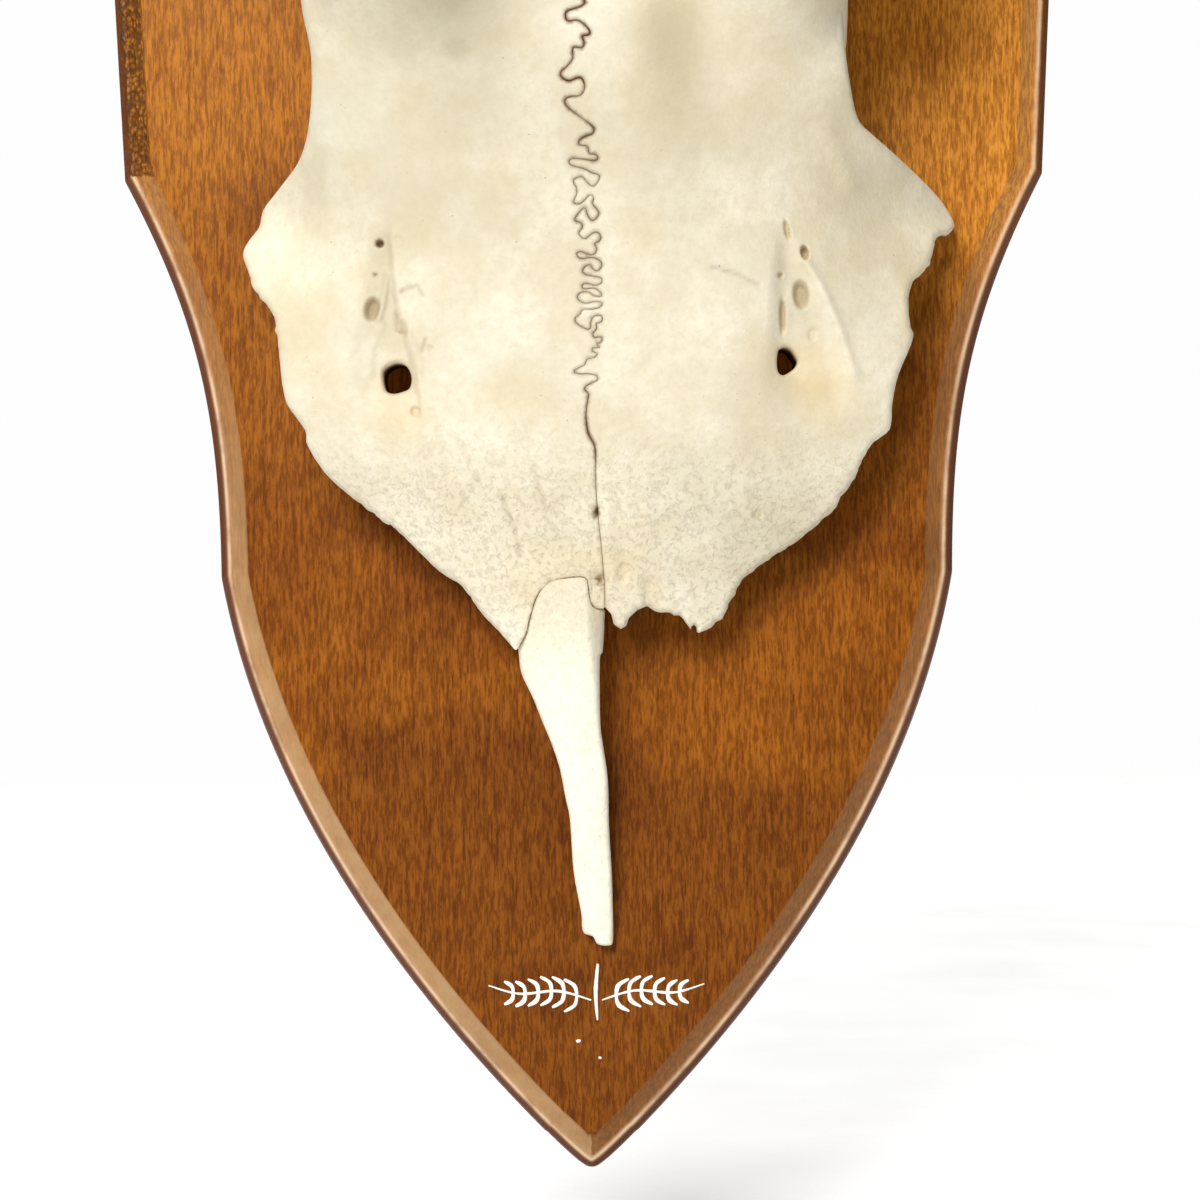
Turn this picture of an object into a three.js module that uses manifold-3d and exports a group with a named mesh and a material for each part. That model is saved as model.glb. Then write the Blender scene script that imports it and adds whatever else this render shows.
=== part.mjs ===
// A roe deer's skull cap with its antlers, fixed on a pointed wooden shield that hangs on a wall.
//
// Millimetres. +Z is up and +X is to the right for someone who faces the shield. The shield's flat
// back lies in the plane y = 0 and everything stands out from it towards -Y. The origin is in the
// middle of that back, on the wood just below the hanging plate. The animal looks down and out, so
// its own right side is on -X. Places on the skull are given as (x, height, z), where height counts
// from the front of the wood.

import * as THREE from 'three';
import { mergeVertices } from 'three/addons/utils/BufferGeometryUtils.js';
import Module from 'manifold-3d';

const wasm = await Module();
wasm.setup();

// Touching pieces keep this much air between them.
const GAP = 0.3;

// The shield: its outline is given by half widths and levels, both halves alike.
const BOARD_THICKNESS = 13;
const BOARD_TIP_Z = -176.1;
const BOARD_TOP_Z = 44;
const LOBE_HALF_WIDTH = 48;
const LOBE_Z = -98.4;
const LOWER_EAR_HALF_WIDTH = 60.2;
const LOWER_EAR_Z = -46.4;
const UPPER_EAR_HALF_WIDTH = 62.6;
const UPPER_EAR_Z = 3;
const NECK_HALF_WIDTH = 44;
const NECK_Z = 22;
const TIP_BLUNTING = 1.2;
const OUTLINE_DIVISIONS = 11;
// One half of the outline from the tip upwards, each curve as its two handles and its end.
const OUTLINE_CURVES = [
  [[19.3, BOARD_TIP_Z + 17.1], [LOBE_HALF_WIDTH - 5.8, LOBE_Z - 33.2], [LOBE_HALF_WIDTH, LOBE_Z]],
  [
    [LOBE_HALF_WIDTH + 0.2, LOBE_Z + 20.5], [LOWER_EAR_HALF_WIDTH - 9.9, LOWER_EAR_Z - 19],
    [LOWER_EAR_HALF_WIDTH, LOWER_EAR_Z],
  ],
  [
    [LOWER_EAR_HALF_WIDTH + 0.8, LOWER_EAR_Z + 16.5], [UPPER_EAR_HALF_WIDTH - 0.8, UPPER_EAR_Z - 16.5],
    [UPPER_EAR_HALF_WIDTH, UPPER_EAR_Z],
  ],
  [
    [UPPER_EAR_HALF_WIDTH - 7, UPPER_EAR_Z + 3], [NECK_HALF_WIDTH + 3.5, NECK_Z - 9],
    [NECK_HALF_WIDTH, NECK_Z],
  ],
  [[NECK_HALF_WIDTH - 8, NECK_Z + 13], [16, BOARD_TOP_Z], [0, BOARD_TOP_Z]],
];
// The edge seen in section, from the back to the front: [inset from the outline, depth from the back].
const BOARD_EDGE = [
  [0.35, 0], [0, 4], [0, 7], [0.4, 10.3], [1.05, 11.2], [1.8, 11.6], [2.9, 12.3], [4.1, 13],
];

// The skull cap, animal's right on -X. Outlines run from the rear of the frontal bones to the nose.
const FRONTAL_REAR_Z = -4;
const SUTURE_X = smoothFunction([
  [-103, 2.3], [-90, 1.6], [-77, 1], [-65, 0.8], [-54, 0.4], [-42, -0.6], [-30, -0.8],
]);
const SEAM = { lowerZ: -112, upperZ: 2, step: 1.7, swing: 1, straightZ: -88, zigzagZ: -72, overlap: 2.5 };
const RIGHT_OUTER_EDGE = [
  [-32.4, -4], [-34, -18], [-34, -28], [-33.5, -37], [-34, -43], [-36.5, -48.5], [-40.5, -52], [-43, -57.5],
  [-41.5, -62], [-38.7, -66], [-38, -72.5], [-37.4, -77], [-35, -81], [-31.5, -86.5], [-26, -91.5],
  [-19, -97.7], [-14.3, -102], [-9, -108.2],
];
const LEFT_OUTER_EDGE = [
  [32, -4], [33, -18], [32.3, -28], [33, -37.5], [34.2, -43.5], [40, -48], [45, -51], [48, -54], [44.5, -57],
  [42.5, -61], [40.6, -65], [41, -69], [39, -74.5], [38, -80.5], [34, -86.5], [30.5, -91], [25.5, -95.5],
  [20, -99], [17, -104.2],
];
const RIGHT_NASAL_MARGIN = [
  [2.2, -102.8], [0.9, -102.7], [0.4, -101.4], [0.2, -99.2], [-4.2, -98.9], [-6.6, -101.9], [-7.6, -105],
  [-9, -108.4],
];
const LEFT_NASAL_MARGIN = [
  [2.5, -102.8], [3.4, -104.7], [4.3, -105.4], [5.4, -104], [6.6, -102.9], [7.8, -102.5], [9, -103.2],
  [11.8, -103.7], [12.6, -105.2], [13.2, -105.7], [13.6, -105], [14.2, -106], [15.2, -105.5], [17, -104.2],
];

// Heights of the skull above the wood, each as [z, height].
const MIDLINE_HEIGHT = smoothFunction([
  [-109, 10.5], [-103, 13], [-97, 14.7], [-89, 17.3], [-77, 21.3], [-65, 25], [-54, 28], [-40, 31],
  [-20, 33.2], [-8, 34],
]);
const RIM_HEIGHT = smoothFunction([
  [-109, 8.5], [-98, 9.8], [-90, 11.5], [-82, 13.3], [-74, 15.2], [-65, 15.4], [-59, 13], [-54, 10.5],
  [-50, 12.5],
  [-45, 18], [-38, 23.5], [-30, 25], [-8, 25],
]);
const SHELL_THICKNESS = 2.6;
const SOLID_FROM_Z = -42;
const SHELL_FROM_Z = -53;
const CREST_INSET = 3.6;
const RIM_INSET = 0.8;
const SEAM_INSET = 0.3;
const MARGIN_OVERLAP = 1.2;
const FRONTAL_ROW_SPACING = 3.2;
const FRONTAL_MARGIN_SPACING = 3;

// The supraorbital grooves and the holes at their lower ends: x and z of the hole, and its half axes.
const RIGHT_FORAMEN = { x: -23.2, z: -74.2, halfWidth: 1.75, halfLength: 1.7 };
const LEFT_FORAMEN = { x: 24.9, z: -72.4, halfWidth: 1.15, halfLength: 1.7 };
const GROOVE = { x: 25.6, halfWidth: 2.6, depth: 1.7, upperZ: -55, lowerZ: -75 };

// The one nasal bone, the animal's right one.
const NASAL_LEFT_EDGE = [
  [-8.8, -107.4], [-8.5, -111], [-7.1, -114.1], [-4.6, -120.2], [-2.9, -127.3], [-2, -136.6], [-1, -143.6],
  [-0.4, -144.9],
];
const NASAL_RIGHT_EDGE = [
  [2.2, -103.2], [1.9, -108], [1.5, -112], [1.6, -117.5], [2.2, -122.2], [2.6, -130.6], [3, -141],
  [3, -145.6],
];
const NASAL_TIP_EDGE = [[3, -145.6], [2.4, -146.2], [1, -146.1], [0.5, -145.3], [-0.4, -144.9]];
const NASAL_RIDGE_X = smoothFunction([
  [-146, 1.6], [-130, 1], [-122, 1.3], [-114, 0.8], [-106, 0.2], [-98, 0],
]);
const NASAL_RIDGE_HEIGHT = smoothFunction([
  [-146, 2.7], [-137, 4.4], [-127, 6.6], [-122, 8], [-114, 10.6], [-109, 12], [-103, 13.2], [-98, 14.4],
]);
const NASAL_OUTER_DROP = smoothFunction([
  [-146, 0.8], [-137, 1.2], [-122, 2.6], [-114, 3.6], [-107, 4.4], [-98, 3],
]);
const NASAL_INNER_DROP = smoothFunction([
  [-146, 0.4], [-130, 0.6], [-122, 0.9], [-116, 1.7], [-108, 2.1], [-98, 1.6],
]);
const NASAL_THICKNESS = 1.6;
const NASAL_ROW_SPACING = 3.6;
const NASAL_MARGIN_SPACING = 4;

// The rear of the skull cap, each row as [z, half width, height].
const BRAINCASE_ROWS = [
  [-3.7, 32.2, 34.2], [0, 31.6, 34], [4, 30, 33.4], [8.5, 27, 32], [12.5, 23.4, 30], [15.2, 20.4, 28.4],
  [17, 18.8, 26.8], [18.4, 17.6, 22], [19.6, 16.6, 13], [20.6, 15.4, 3],
];

// An antler with its pedicle, each stop as [distance from the midline, height, z, radius].
const BEAM_STOPS = [
  [20.5, 17, -31, 12.5], [22, 29.5, -19.6, 10.6], [23.3, 36, -13.7, 9.7], [24.3, 40, -9.8, 10.4],
  [27, 51.5, 3, 10.2], [31.2, 70, 28, 9.3], [36, 87, 60, 8.8], [39.2, 93, 82, 8.1], [41.6, 91.5, 107, 7],
  [42.4, 89.5, 127, 6.5], [41.2, 93, 148, 5], [38.6, 98, 168, 3.6], [35.6, 101, 186, 0.9],
];
const FRONT_TINE_STOPS = [
  [37.3, 90, 71, 6.8], [37, 101, 79.5, 5.9], [36.6, 111.5, 90, 4.7], [36.6, 118, 101, 3.2],
  [37, 121, 112, 0.8],
];
const REAR_TINE_STOPS = [
  [42.4, 90, 121, 5.8], [43.4, 80.5, 130, 4.9], [44.4, 71.5, 140, 3.7], [45, 64.5, 150, 2.4],
  [45, 61.5, 158, 0.7],
];
const CORONET_STOP = 3;
const FRONT_FORK_Z = 87;
const REAR_FORK_Z = 135;
const BEAM_SIDES = 15;
const TINE_SIDES = 10;
const RING_SPACING = 6.5;
const CORONET_LAYERS = [[0, 12.6], [1.6, 15.8], [4, 16.9], [6.6, 15.6], [9, 11]];
const CORONET_KNOBS = 11;
const GOLDEN_ANGLE = 2.4;
const PEARLS = { count: 12, firstZ: 9, lastZ: 60, radius: 2.2 };

// Metalwork on the back.
const SKULL_SCREWS = {
  x: 11, z: -24, sunk: 0.25, headRadius: 3.7, headDepth: 2.8, shankRadius: 1.75, length: 26,
};
const SCREW_SIDES = 16;
const HANGER = {
  z: 22, halfWidth: 6.5, halfLength: 13, thickness: 1, sunk: 0.25,
  eyeRadius: 3.6, pocketRadius: 5.5, pocketDepth: 6,
};
const HANGER_SCREWS = { reach: 9.4, headRadius: 2.3, headDepth: 1.5, shankRadius: 1.1, length: 10 };

const BONE = { color: '#e6dec4', roughness: 0.62, metalness: 0 };
const ANTLER = { color: '#6b4c33', roughness: 0.55, metalness: 0 };
const PALE_TIP = { color: '#c9b692', roughness: 0.4, metalness: 0 };
const WOOD = { color: '#7c4720', roughness: 0.35, metalness: 0 };
const STEEL = { color: '#9c9ea0', roughness: 0.35, metalness: 1 };
const BRASS = { color: '#b08d4a', roughness: 0.4, metalness: 1 };

// Curves and surfaces

// A smooth function of one number through the given [input, output] pairs, flat beyond both ends.
function smoothFunction(knots) {
  const rise = (index) => {
    const before = knots[Math.max(index - 1, 0)];
    const after = knots[Math.min(index + 1, knots.length - 1)];
    return (after[1] - before[1]) / (after[0] - before[0]);
  };
  return (input) => {
    let index = 0;
    while (index < knots.length - 2 && input > knots[index + 1][0]) {
      index += 1;
    }
    const [startInput, start] = knots[index];
    const [endInput, end] = knots[index + 1];
    const span = endInput - startInput;
    const t = THREE.MathUtils.clamp((input - startInput) / span, 0, 1);
    const startWeight = 1 - t * t * (3 - 2 * t);
    const curl = t * (1 - t) * span * ((1 - t) * rise(index) - t * rise(index + 1));
    return start * startWeight + end * (1 - startWeight) + curl;
  };
}

// A place on the skull, from its distance off the midline, its height above the wood and its level.
function place(x, height, z) {
  return new THREE.Vector3(x, -(BOARD_THICKNESS + height), z);
}

function spline(points) {
  return new THREE.SplineCurve(points.map(([x, z]) => new THREE.Vector2(x, z)));
}

// Parameters from 0 to 1 that hit every knot of a spline and split its longer spans evenly.
function knotParameters(points, spacing) {
  const spans = points.length - 1;
  const parameters = [0];
  for (let span = 0; span < spans; span += 1) {
    const length = Math.hypot(points[span + 1][0] - points[span][0], points[span + 1][1] - points[span][1]);
    const steps = Math.max(1, Math.round(length / spacing));
    for (let step = 1; step <= steps; step += 1) {
      parameters.push((span + step / steps) / spans);
    }
  }
  return parameters;
}

// A closed body from corners and triangles, turned so that its faces point out.
function closedGeometry(corners, triangles) {
  const across = new THREE.Vector3();
  let volume = 0;
  for (const [a, b, c] of triangles) {
    volume += across.crossVectors(corners[b], corners[c]).dot(corners[a]);
  }
  const facing = volume > 0 ? triangles : triangles.map(([a, b, c]) => [a, c, b]);
  const places = corners.flatMap((corner) => corner.toArray());
  const geometry = new THREE.BufferGeometry();
  geometry.setAttribute('position', new THREE.Float32BufferAttribute(places, 3));
  geometry.setIndex(facing.flat());
  return geometry;
}

// A body from a row of rings with equal numbers of corners, closed at both ends by fans.
function ringBody(rings) {
  const size = rings[0].length;
  const corners = rings.flat();
  const triangles = [];
  for (let ring = 0; ring + 1 < rings.length; ring += 1) {
    for (let side = 0; side < size; side += 1) {
      const here = ring * size + side;
      const next = ring * size + ((side + 1) % size);
      triangles.push([here, next, next + size], [here, next + size, here + size]);
    }
  }
  for (const [ring, start] of [[rings[0], 0], [rings.at(-1), corners.length - size]]) {
    const centre = ring.reduce((sum, corner) => sum.add(corner), new THREE.Vector3()).divideScalar(size);
    const hub = corners.push(centre) - 1;
    for (let side = 0; side < size; side += 1) {
      const pair = [start + side, start + ((side + 1) % size)];
      triangles.push(start === 0 ? [hub, pair[1], pair[0]] : [hub, pair[0], pair[1]]);
    }
  }
  return closedGeometry(corners, triangles);
}

// A curved plate from two grids of corners and the loop of its edge, which joins their borders.
function plateBody(outerGrid, innerGrid, edgeLoop) {
  const rows = outerGrid.length;
  const columns = outerGrid[0].length;
  const corners = [...outerGrid.flat(), ...innerGrid.flat(), ...edgeLoop.map(({ corner }) => corner)];
  const innerStart = rows * columns;
  const edgeStart = 2 * innerStart;
  const triangles = [];
  for (let row = 0; row + 1 < rows; row += 1) {
    for (let column = 0; column + 1 < columns; column += 1) {
      const a = row * columns + column;
      const [b, c, d] = [a + 1, a + columns + 1, a + columns];
      triangles.push([a, b, c], [a, c, d]);
      triangles.push([innerStart + a, innerStart + c, innerStart + b]);
      triangles.push([innerStart + a, innerStart + d, innerStart + c]);
    }
  }
  edgeLoop.forEach(({ row, column }, index) => {
    const next = edgeLoop[(index + 1) % edgeLoop.length];
    const here = row * columns + column;
    const there = next.row * columns + next.column;
    const edgeHere = edgeStart + index;
    const edgeThere = edgeStart + ((index + 1) % edgeLoop.length);
    triangles.push([here, edgeHere, edgeThere], [here, edgeThere, there]);
    triangles.push([edgeHere, innerStart + here, innerStart + there]);
    triangles.push([edgeHere, innerStart + there, edgeThere]);
  });
  return closedGeometry(corners, triangles);
}

// The row and column of each border corner of a grid, once round.
function borderOf(rows, columns) {
  const border = [];
  for (let column = 0; column < columns; column += 1) {
    border.push({ row: 0, column });
  }
  for (let row = 1; row < rows; row += 1) {
    border.push({ row, column: columns - 1 });
  }
  for (let column = columns - 2; column >= 0; column -= 1) {
    border.push({ row: rows - 1, column });
  }
  for (let row = rows - 2; row > 0; row -= 1) {
    border.push({ row, column: 0 });
  }
  return border;
}

// A point between four border curves, which share their corners.
function patchPoint({ inner, outer, rear, front }, u, v) {
  const blend = (axis) => {
    const across = (1 - u) * inner(v)[axis] + u * outer(v)[axis];
    const along = (1 - v) * rear(u)[axis] + v * front(u)[axis];
    const rearChord = (1 - u) * inner(0)[axis] + u * outer(0)[axis];
    const frontChord = (1 - u) * inner(1)[axis] + u * outer(1)[axis];
    return across + along - (1 - v) * rearChord - v * frontChord;
  };
  return [blend(0), blend(1)];
}

// Solids

function toSolid(geometry) {
  const bare = geometry.clone();
  bare.deleteAttribute('normal');
  bare.deleteAttribute('uv');
  const merged = mergeVertices(bare, 1e-4);
  const index = merged.index.array;
  const triangles = [];
  for (let start = 0; start < index.length; start += 3) {
    const [a, b, c] = [index[start], index[start + 1], index[start + 2]];
    if (a !== b && b !== c && c !== a) {
      triangles.push(a, b, c);
    }
  }
  const vertProperties = new Float32Array(merged.attributes.position.array);
  const triVerts = new Uint32Array(triangles);
  return new wasm.Manifold(new wasm.Mesh({ numProp: 3, vertProperties, triVerts }));
}

// The largest closed surface of a solid, as a geometry.
function toGeometry(solid) {
  const pieces = solid.decompose();
  const largest = pieces.reduce((best, piece) => (piece.volume() > best.volume() ? piece : best));
  const { vertProperties, triVerts } = largest.getMesh();
  const geometry = new THREE.BufferGeometry();
  geometry.setAttribute('position', new THREE.BufferAttribute(new Float32Array(vertProperties), 3));
  geometry.setIndex(new THREE.BufferAttribute(new Uint32Array(triVerts), 1));
  return geometry;
}

function part(name, solid, finish) {
  const geometry = toGeometry(solid);
  geometry.computeVertexNormals();
  const mesh = new THREE.Mesh(geometry, new THREE.MeshStandardMaterial({ ...finish, flatShading: true }));
  mesh.name = name;
  return mesh;
}

// The wooden shield

function boardOutline() {
  const half = new THREE.Path();
  half.moveTo(0, BOARD_TIP_Z - TIP_BLUNTING);
  for (const [first, second, end] of OUTLINE_CURVES) {
    half.bezierCurveTo(...first, ...second, ...end);
  }
  const right = half.getPoints(OUTLINE_DIVISIONS);
  const left = right.slice(1, -1).reverse().map(({ x, y }) => new THREE.Vector2(-x, y));
  return [...right, ...left];
}

// The outline moved inwards by a distance, corner by corner.
function insetOutline(outline, distance) {
  const size = outline.length;
  return outline.map((corner, index) => {
    const arriving = corner.clone().sub(outline[(index + size - 1) % size]).normalize();
    const leaving = outline[(index + 1) % size].clone().sub(corner).normalize();
    const inwards = new THREE.Vector2(-arriving.y - leaving.y, arriving.x + leaving.x).normalize();
    const reach = distance / Math.max(0.5, inwards.dot(new THREE.Vector2(-arriving.y, arriving.x)));
    return corner.clone().addScaledVector(inwards, reach);
  });
}

function boardBlank() {
  const outline = boardOutline();
  const size = outline.length;
  const corners = [];
  for (const [inset, depth] of BOARD_EDGE) {
    for (const { x, y } of insetOutline(outline, inset)) {
      corners.push(new THREE.Vector3(x, -depth, y));
    }
  }
  const triangles = [];
  for (let ring = 0; ring + 1 < BOARD_EDGE.length; ring += 1) {
    for (let side = 0; side < size; side += 1) {
      const here = ring * size + side;
      const next = ring * size + ((side + 1) % size);
      triangles.push([here, next, next + size], [here, next + size, here + size]);
    }
  }
  const front = corners.length - size;
  for (const [a, b, c] of THREE.ShapeUtils.triangulateShape(outline, [])) {
    triangles.push([a, c, b], [front + a, front + b, front + c]);
  }
  return toSolid(closedGeometry(corners, triangles));
}

function box(width, depth, height, x, y, z) {
  return toSolid(new THREE.BoxGeometry(width, depth, height).translate(x, y, z));
}

// A disc or hole that starts at the plane y = -sunk and goes into the wood.
function plug(radius, depth, sunk, x, z) {
  const length = depth - sunk;
  return toSolid(new THREE.CylinderGeometry(radius, radius, length, 24).translate(x, -sunk - length / 2, z));
}

// A countersunk screw driven in from the back; grown by GAP it is the hole that it sits in.
function screw({ headRadius, headDepth, shankRadius, length }, x, z, sunk, growth) {
  const profile = [
    [0, -length - growth], [0.4 + growth, -length - growth], [shankRadius + growth, 3 - length],
    [shankRadius + growth, -headDepth - growth], [headRadius + growth, 0],
  ];
  const end = growth > 0 ? [[headRadius + growth, 1], [0, 1]] : [[0, 0]];
  profile.push(...end);
  const silhouette = profile.map(([radius, level]) => new THREE.Vector2(radius, level));
  return toSolid(new THREE.LatheGeometry(silhouette, SCREW_SIDES).translate(x, -sunk, z));
}

// The skull cap

// How far across a frontal bone a row has come down from the midline to the rim, from 0 to 1.
function frontalHeight(x, z, u) {
  const middle = MIDLINE_HEIGHT(z);
  const descent = THREE.MathUtils.lerp(1.5, 2.6, THREE.MathUtils.smoothstep(z, -104, -80));
  const height = middle + (RIM_HEIGHT(z) - middle) * u ** descent;
  const across = (Math.abs(x) - GROOVE.x) / GROOVE.halfWidth;
  const along = THREE.MathUtils.smoothstep(z, GROOVE.lowerZ - 4, GROOVE.lowerZ + 2)
    * (1 - THREE.MathUtils.smoothstep(z, GROOVE.upperZ - 4, GROOVE.upperZ + 4));
  return height - GROOVE.depth * along * Math.exp(-across * across);
}

function frontalUnderside(height, z) {
  const shell = 1 - THREE.MathUtils.smoothstep(z, SHELL_FROM_Z, SOLID_FROM_Z);
  return Math.max(GAP, (height - SHELL_THICKNESS) * shell);
}

// An upright wall that stands on an outline in x and z and reaches out from the back of the wood.
function prism(outline) {
  const wall = new THREE.ExtrudeGeometry(new THREE.Shape(outline), { depth: 70, bevelEnabled: false });
  return toSolid(wall.rotateX(Math.PI / 2));
}

// Everything on the +X side of the zigzag seam between the two frontal bones, moved by a shift.
function leftOfSeam(shift) {
  const outline = [new THREE.Vector2(80, SEAM.lowerZ)];
  let side = 1;
  for (let z = SEAM.lowerZ; z <= SEAM.upperZ; z += SEAM.step) {
    const swing = SEAM.swing * THREE.MathUtils.smoothstep(z, SEAM.straightZ, SEAM.zigzagZ);
    outline.push(new THREE.Vector2(SUTURE_X(z) + shift + side * swing, z));
    side = -side;
  }
  outline.push(new THREE.Vector2(80, SEAM.upperZ));
  return prism(outline);
}

// Everything on the nose side of the right frontal bone's margin, moved towards the nose by a shift.
function noseSide(shift) {
  const beyond = [[-9.3, -110], [-14, -160], [14, -160], [14, -102.8]];
  const outline = spline(RIGHT_NASAL_MARGIN).getPoints(28);
  outline.push(...beyond.map(([x, z]) => new THREE.Vector2(x, z)));
  return prism(insetOutline(outline, shift));
}

// The nasal margin moved sideways, most in its middle: ahead of the margin or, below zero, behind it.
function besideMargin(margin, reach) {
  return (u) => {
    const { x, y } = margin.getPoint(u);
    const heading = margin.getTangent(u);
    const side = reach * Math.sin(Math.PI * u);
    return [x - heading.y * side, y + heading.x * side];
  };
}

function frontalBone(side, outerEdge, nasalMargin) {
  const outerCurve = spline(outerEdge);
  const marginCurve = spline(nasalMargin);
  const rowSteps = knotParameters(outerEdge, FRONTAL_ROW_SPACING);
  const columnSteps = knotParameters(nasalMargin, FRONTAL_MARGIN_SPACING);
  const seamEndZ = nasalMargin[0][1];
  const noseZ = outerEdge.at(-1)[1];
  const inner = (v) => {
    const fraction = (outerCurve.getPoint(v).y - FRONTAL_REAR_Z) / (noseZ - FRONTAL_REAR_Z);
    const z = THREE.MathUtils.lerp(FRONTAL_REAR_Z, seamEndZ, fraction);
    return [SUTURE_X(z) - side * SEAM.overlap, z];
  };
  const outer = (v) => outerCurve.getPoint(v).toArray();
  const rear = (u) => [THREE.MathUtils.lerp(inner(0)[0], outer(0)[0], u), FRONTAL_REAR_Z];
  const beyond = besideMargin(marginCurve, side < 0 ? MARGIN_OVERLAP : 0);
  const front = (u) => {
    const [x, z] = beyond(u);
    return [x - side * SEAM.overlap * (1 - u) ** 8, z];
  };
  const borders = { inner, outer, rear, front };
  const rows = rowSteps.map((v) => columnSteps.map((u) => {
    const [x, z] = patchPoint(borders, u, v);
    const crest = THREE.MathUtils.smoothstep(z, SHELL_FROM_Z, SOLID_FROM_Z);
    const outerInset = THREE.MathUtils.lerp(RIM_INSET, CREST_INSET, crest);
    const insetX = x - side * u * outerInset;
    const insetZ = z - (1 - v) * SEAM_INSET + v * SEAM_INSET;
    const height = frontalHeight(insetX, insetZ, u);
    return { x, z, insetX, insetZ, height, under: frontalUnderside(height, insetZ) };
  }));
  const bone = plateFrom(rows);
  const isRight = side < 0;
  return isRight
    ? bone.subtract(leftOfSeam(-GAP / 2)).subtract(noseSide(0))
    : bone.intersect(leftOfSeam(GAP / 2));
}

// A plate from a grid of samples that tell its outline, its inset corners and its two heights.
function plateFrom(rows) {
  const outerGrid = rows.map((row) => row.map(({ insetX, insetZ, height }) => place(insetX, height, insetZ)));
  const innerGrid = rows.map((row) => row.map(({ insetX, insetZ, under }) => place(insetX, under, insetZ)));
  const edgeLoop = borderOf(rows.length, rows[0].length).map(({ row, column }) => {
    const { x, z, height, under } = rows[row][column];
    return { row, column, corner: place(x, (height + under) / 2, z) };
  });
  return toSolid(plateBody(outerGrid, innerGrid, edgeLoop));
}

function foramen({ x, z, halfWidth, halfLength }) {
  const hole = new THREE.CylinderGeometry(1, 1, 12, 14).scale(halfWidth, 1, halfLength);
  return toSolid(hole.translate(x, -(BOARD_THICKNESS + frontalHeight(x, z, Math.abs(x) / 39)), z));
}

function nasalBone() {
  const rearEdge = besideMargin(spline(RIGHT_NASAL_MARGIN), -MARGIN_OVERLAP);
  const sideways = spline(NASAL_RIGHT_EDGE);
  const outwards = spline(NASAL_LEFT_EDGE);
  const tip = spline(NASAL_TIP_EDGE);
  const inner = (v) => (v === 0 ? rearEdge(0) : sideways.getPoint(v).toArray());
  const outer = (v) => (v === 0 ? rearEdge(1) : outwards.getPoint(v).toArray());
  const borders = { inner, outer, rear: rearEdge, front: (u) => tip.getPoint(u).toArray() };
  const rowSteps = knotParameters(NASAL_RIGHT_EDGE, NASAL_ROW_SPACING);
  const columnSteps = knotParameters(RIGHT_NASAL_MARGIN, NASAL_MARGIN_SPACING);
  const rows = rowSteps.map((v) => columnSteps.map((u) => {
    const [x, z] = patchPoint(borders, u, v);
    const insetX = x - (1 - u) * SEAM_INSET + u * SEAM_INSET;
    const insetZ = z - (1 - v) * SEAM_INSET + v * SEAM_INSET;
    const height = nasalHeight(insetX, insetZ);
    return { x, z, insetX, insetZ, height, under: Math.max(0.9, height - NASAL_THICKNESS) };
  }));
  return plateFrom(rows).intersect(noseSide(GAP)).subtract(leftOfSeam(0));
}

// The nasal bone falls away from its ridge, gently outwards and steeply on its inner face.
function nasalHeight(x, z) {
  const offRidge = x - NASAL_RIDGE_X(z);
  const outerDrop = NASAL_OUTER_DROP(z) * (offRidge / 9) ** 2;
  const innerDrop = NASAL_INNER_DROP(z) * (offRidge / 1.8) ** 2;
  const drop = offRidge < 0 ? outerDrop : innerDrop;
  return NASAL_RIDGE_HEIGHT(z) - Math.min(drop, NASAL_RIDGE_HEIGHT(z) - 2);
}

function braincase() {
  const arch = 22;
  const rings = BRAINCASE_ROWS.map(([z, halfWidth, height]) => {
    const ring = [];
    for (let step = 0; step <= arch; step += 1) {
      const angle = (Math.PI * step) / arch;
      const x = halfWidth * Math.sign(Math.cos(angle)) * Math.abs(Math.cos(angle)) ** 0.8;
      ring.push(place(x, GAP + (height - GAP) * Math.sin(angle) ** 0.8, z));
    }
    return ring;
  });
  return toSolid(ringBody(rings));
}

// The antlers

// A tapering limb through stops of [distance from the midline, height, z, radius].
function limb(stops, side, sides, fluting) {
  const centres = stops.map(([out, height, z]) => place(side * out, height, z));
  const curve = new THREE.CatmullRomCurve3(centres, false, 'centripetal');
  const radiusAt = smoothFunction(stops.map(([, , , radius], index) => [index / (stops.length - 1), radius]));
  const steps = Math.round(curve.getLength() / RING_SPACING);
  const { normals, binormals } = curve.computeFrenetFrames(steps, false);
  const rings = [];
  for (let step = 0; step <= steps; step += 1) {
    const t = curve.getUtoTmapping(step / steps);
    const centre = curve.getPoint(t);
    const flutedRadius = (angle) => radiusAt(t) * fluting(angle);
    rings.push(ringAround(centre, normals[step], binormals[step], sides, flutedRadius));
  }
  return { solid: toSolid(ringBody(rings)), curve, radiusAt };
}

function ringAround(centre, normal, binormal, sides, radiusAt) {
  const ring = [];
  for (let step = 0; step < sides; step += 1) {
    const angle = (2 * Math.PI * step) / sides;
    const radius = radiusAt(angle);
    const corner = centre.clone().addScaledVector(normal, radius * Math.cos(angle));
    ring.push(corner.addScaledVector(binormal, radius * Math.sin(angle)));
  }
  return ring;
}

// Both halves of a solid parted at a plane, with GAP between them: first what lies ahead.
function partAt(solid, point, direction) {
  const offset = point.dot(direction);
  const behind = direction.clone().negate();
  return [
    solid.trimByPlane(direction.toArray(), offset + GAP / 2),
    solid.trimByPlane(behind.toArray(), -offset + GAP / 2),
  ];
}

// The place and heading on a limb where it reaches a level.
function levelOn(curve, z) {
  let low = 0;
  let high = 1;
  for (let halving = 0; halving < 24; halving += 1) {
    const middle = (low + high) / 2;
    [low, high] = curve.getPoint(middle).z < z ? [middle, high] : [low, middle];
  }
  return { t: low, point: curve.getPoint(low), heading: curve.getTangent(low) };
}

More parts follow.
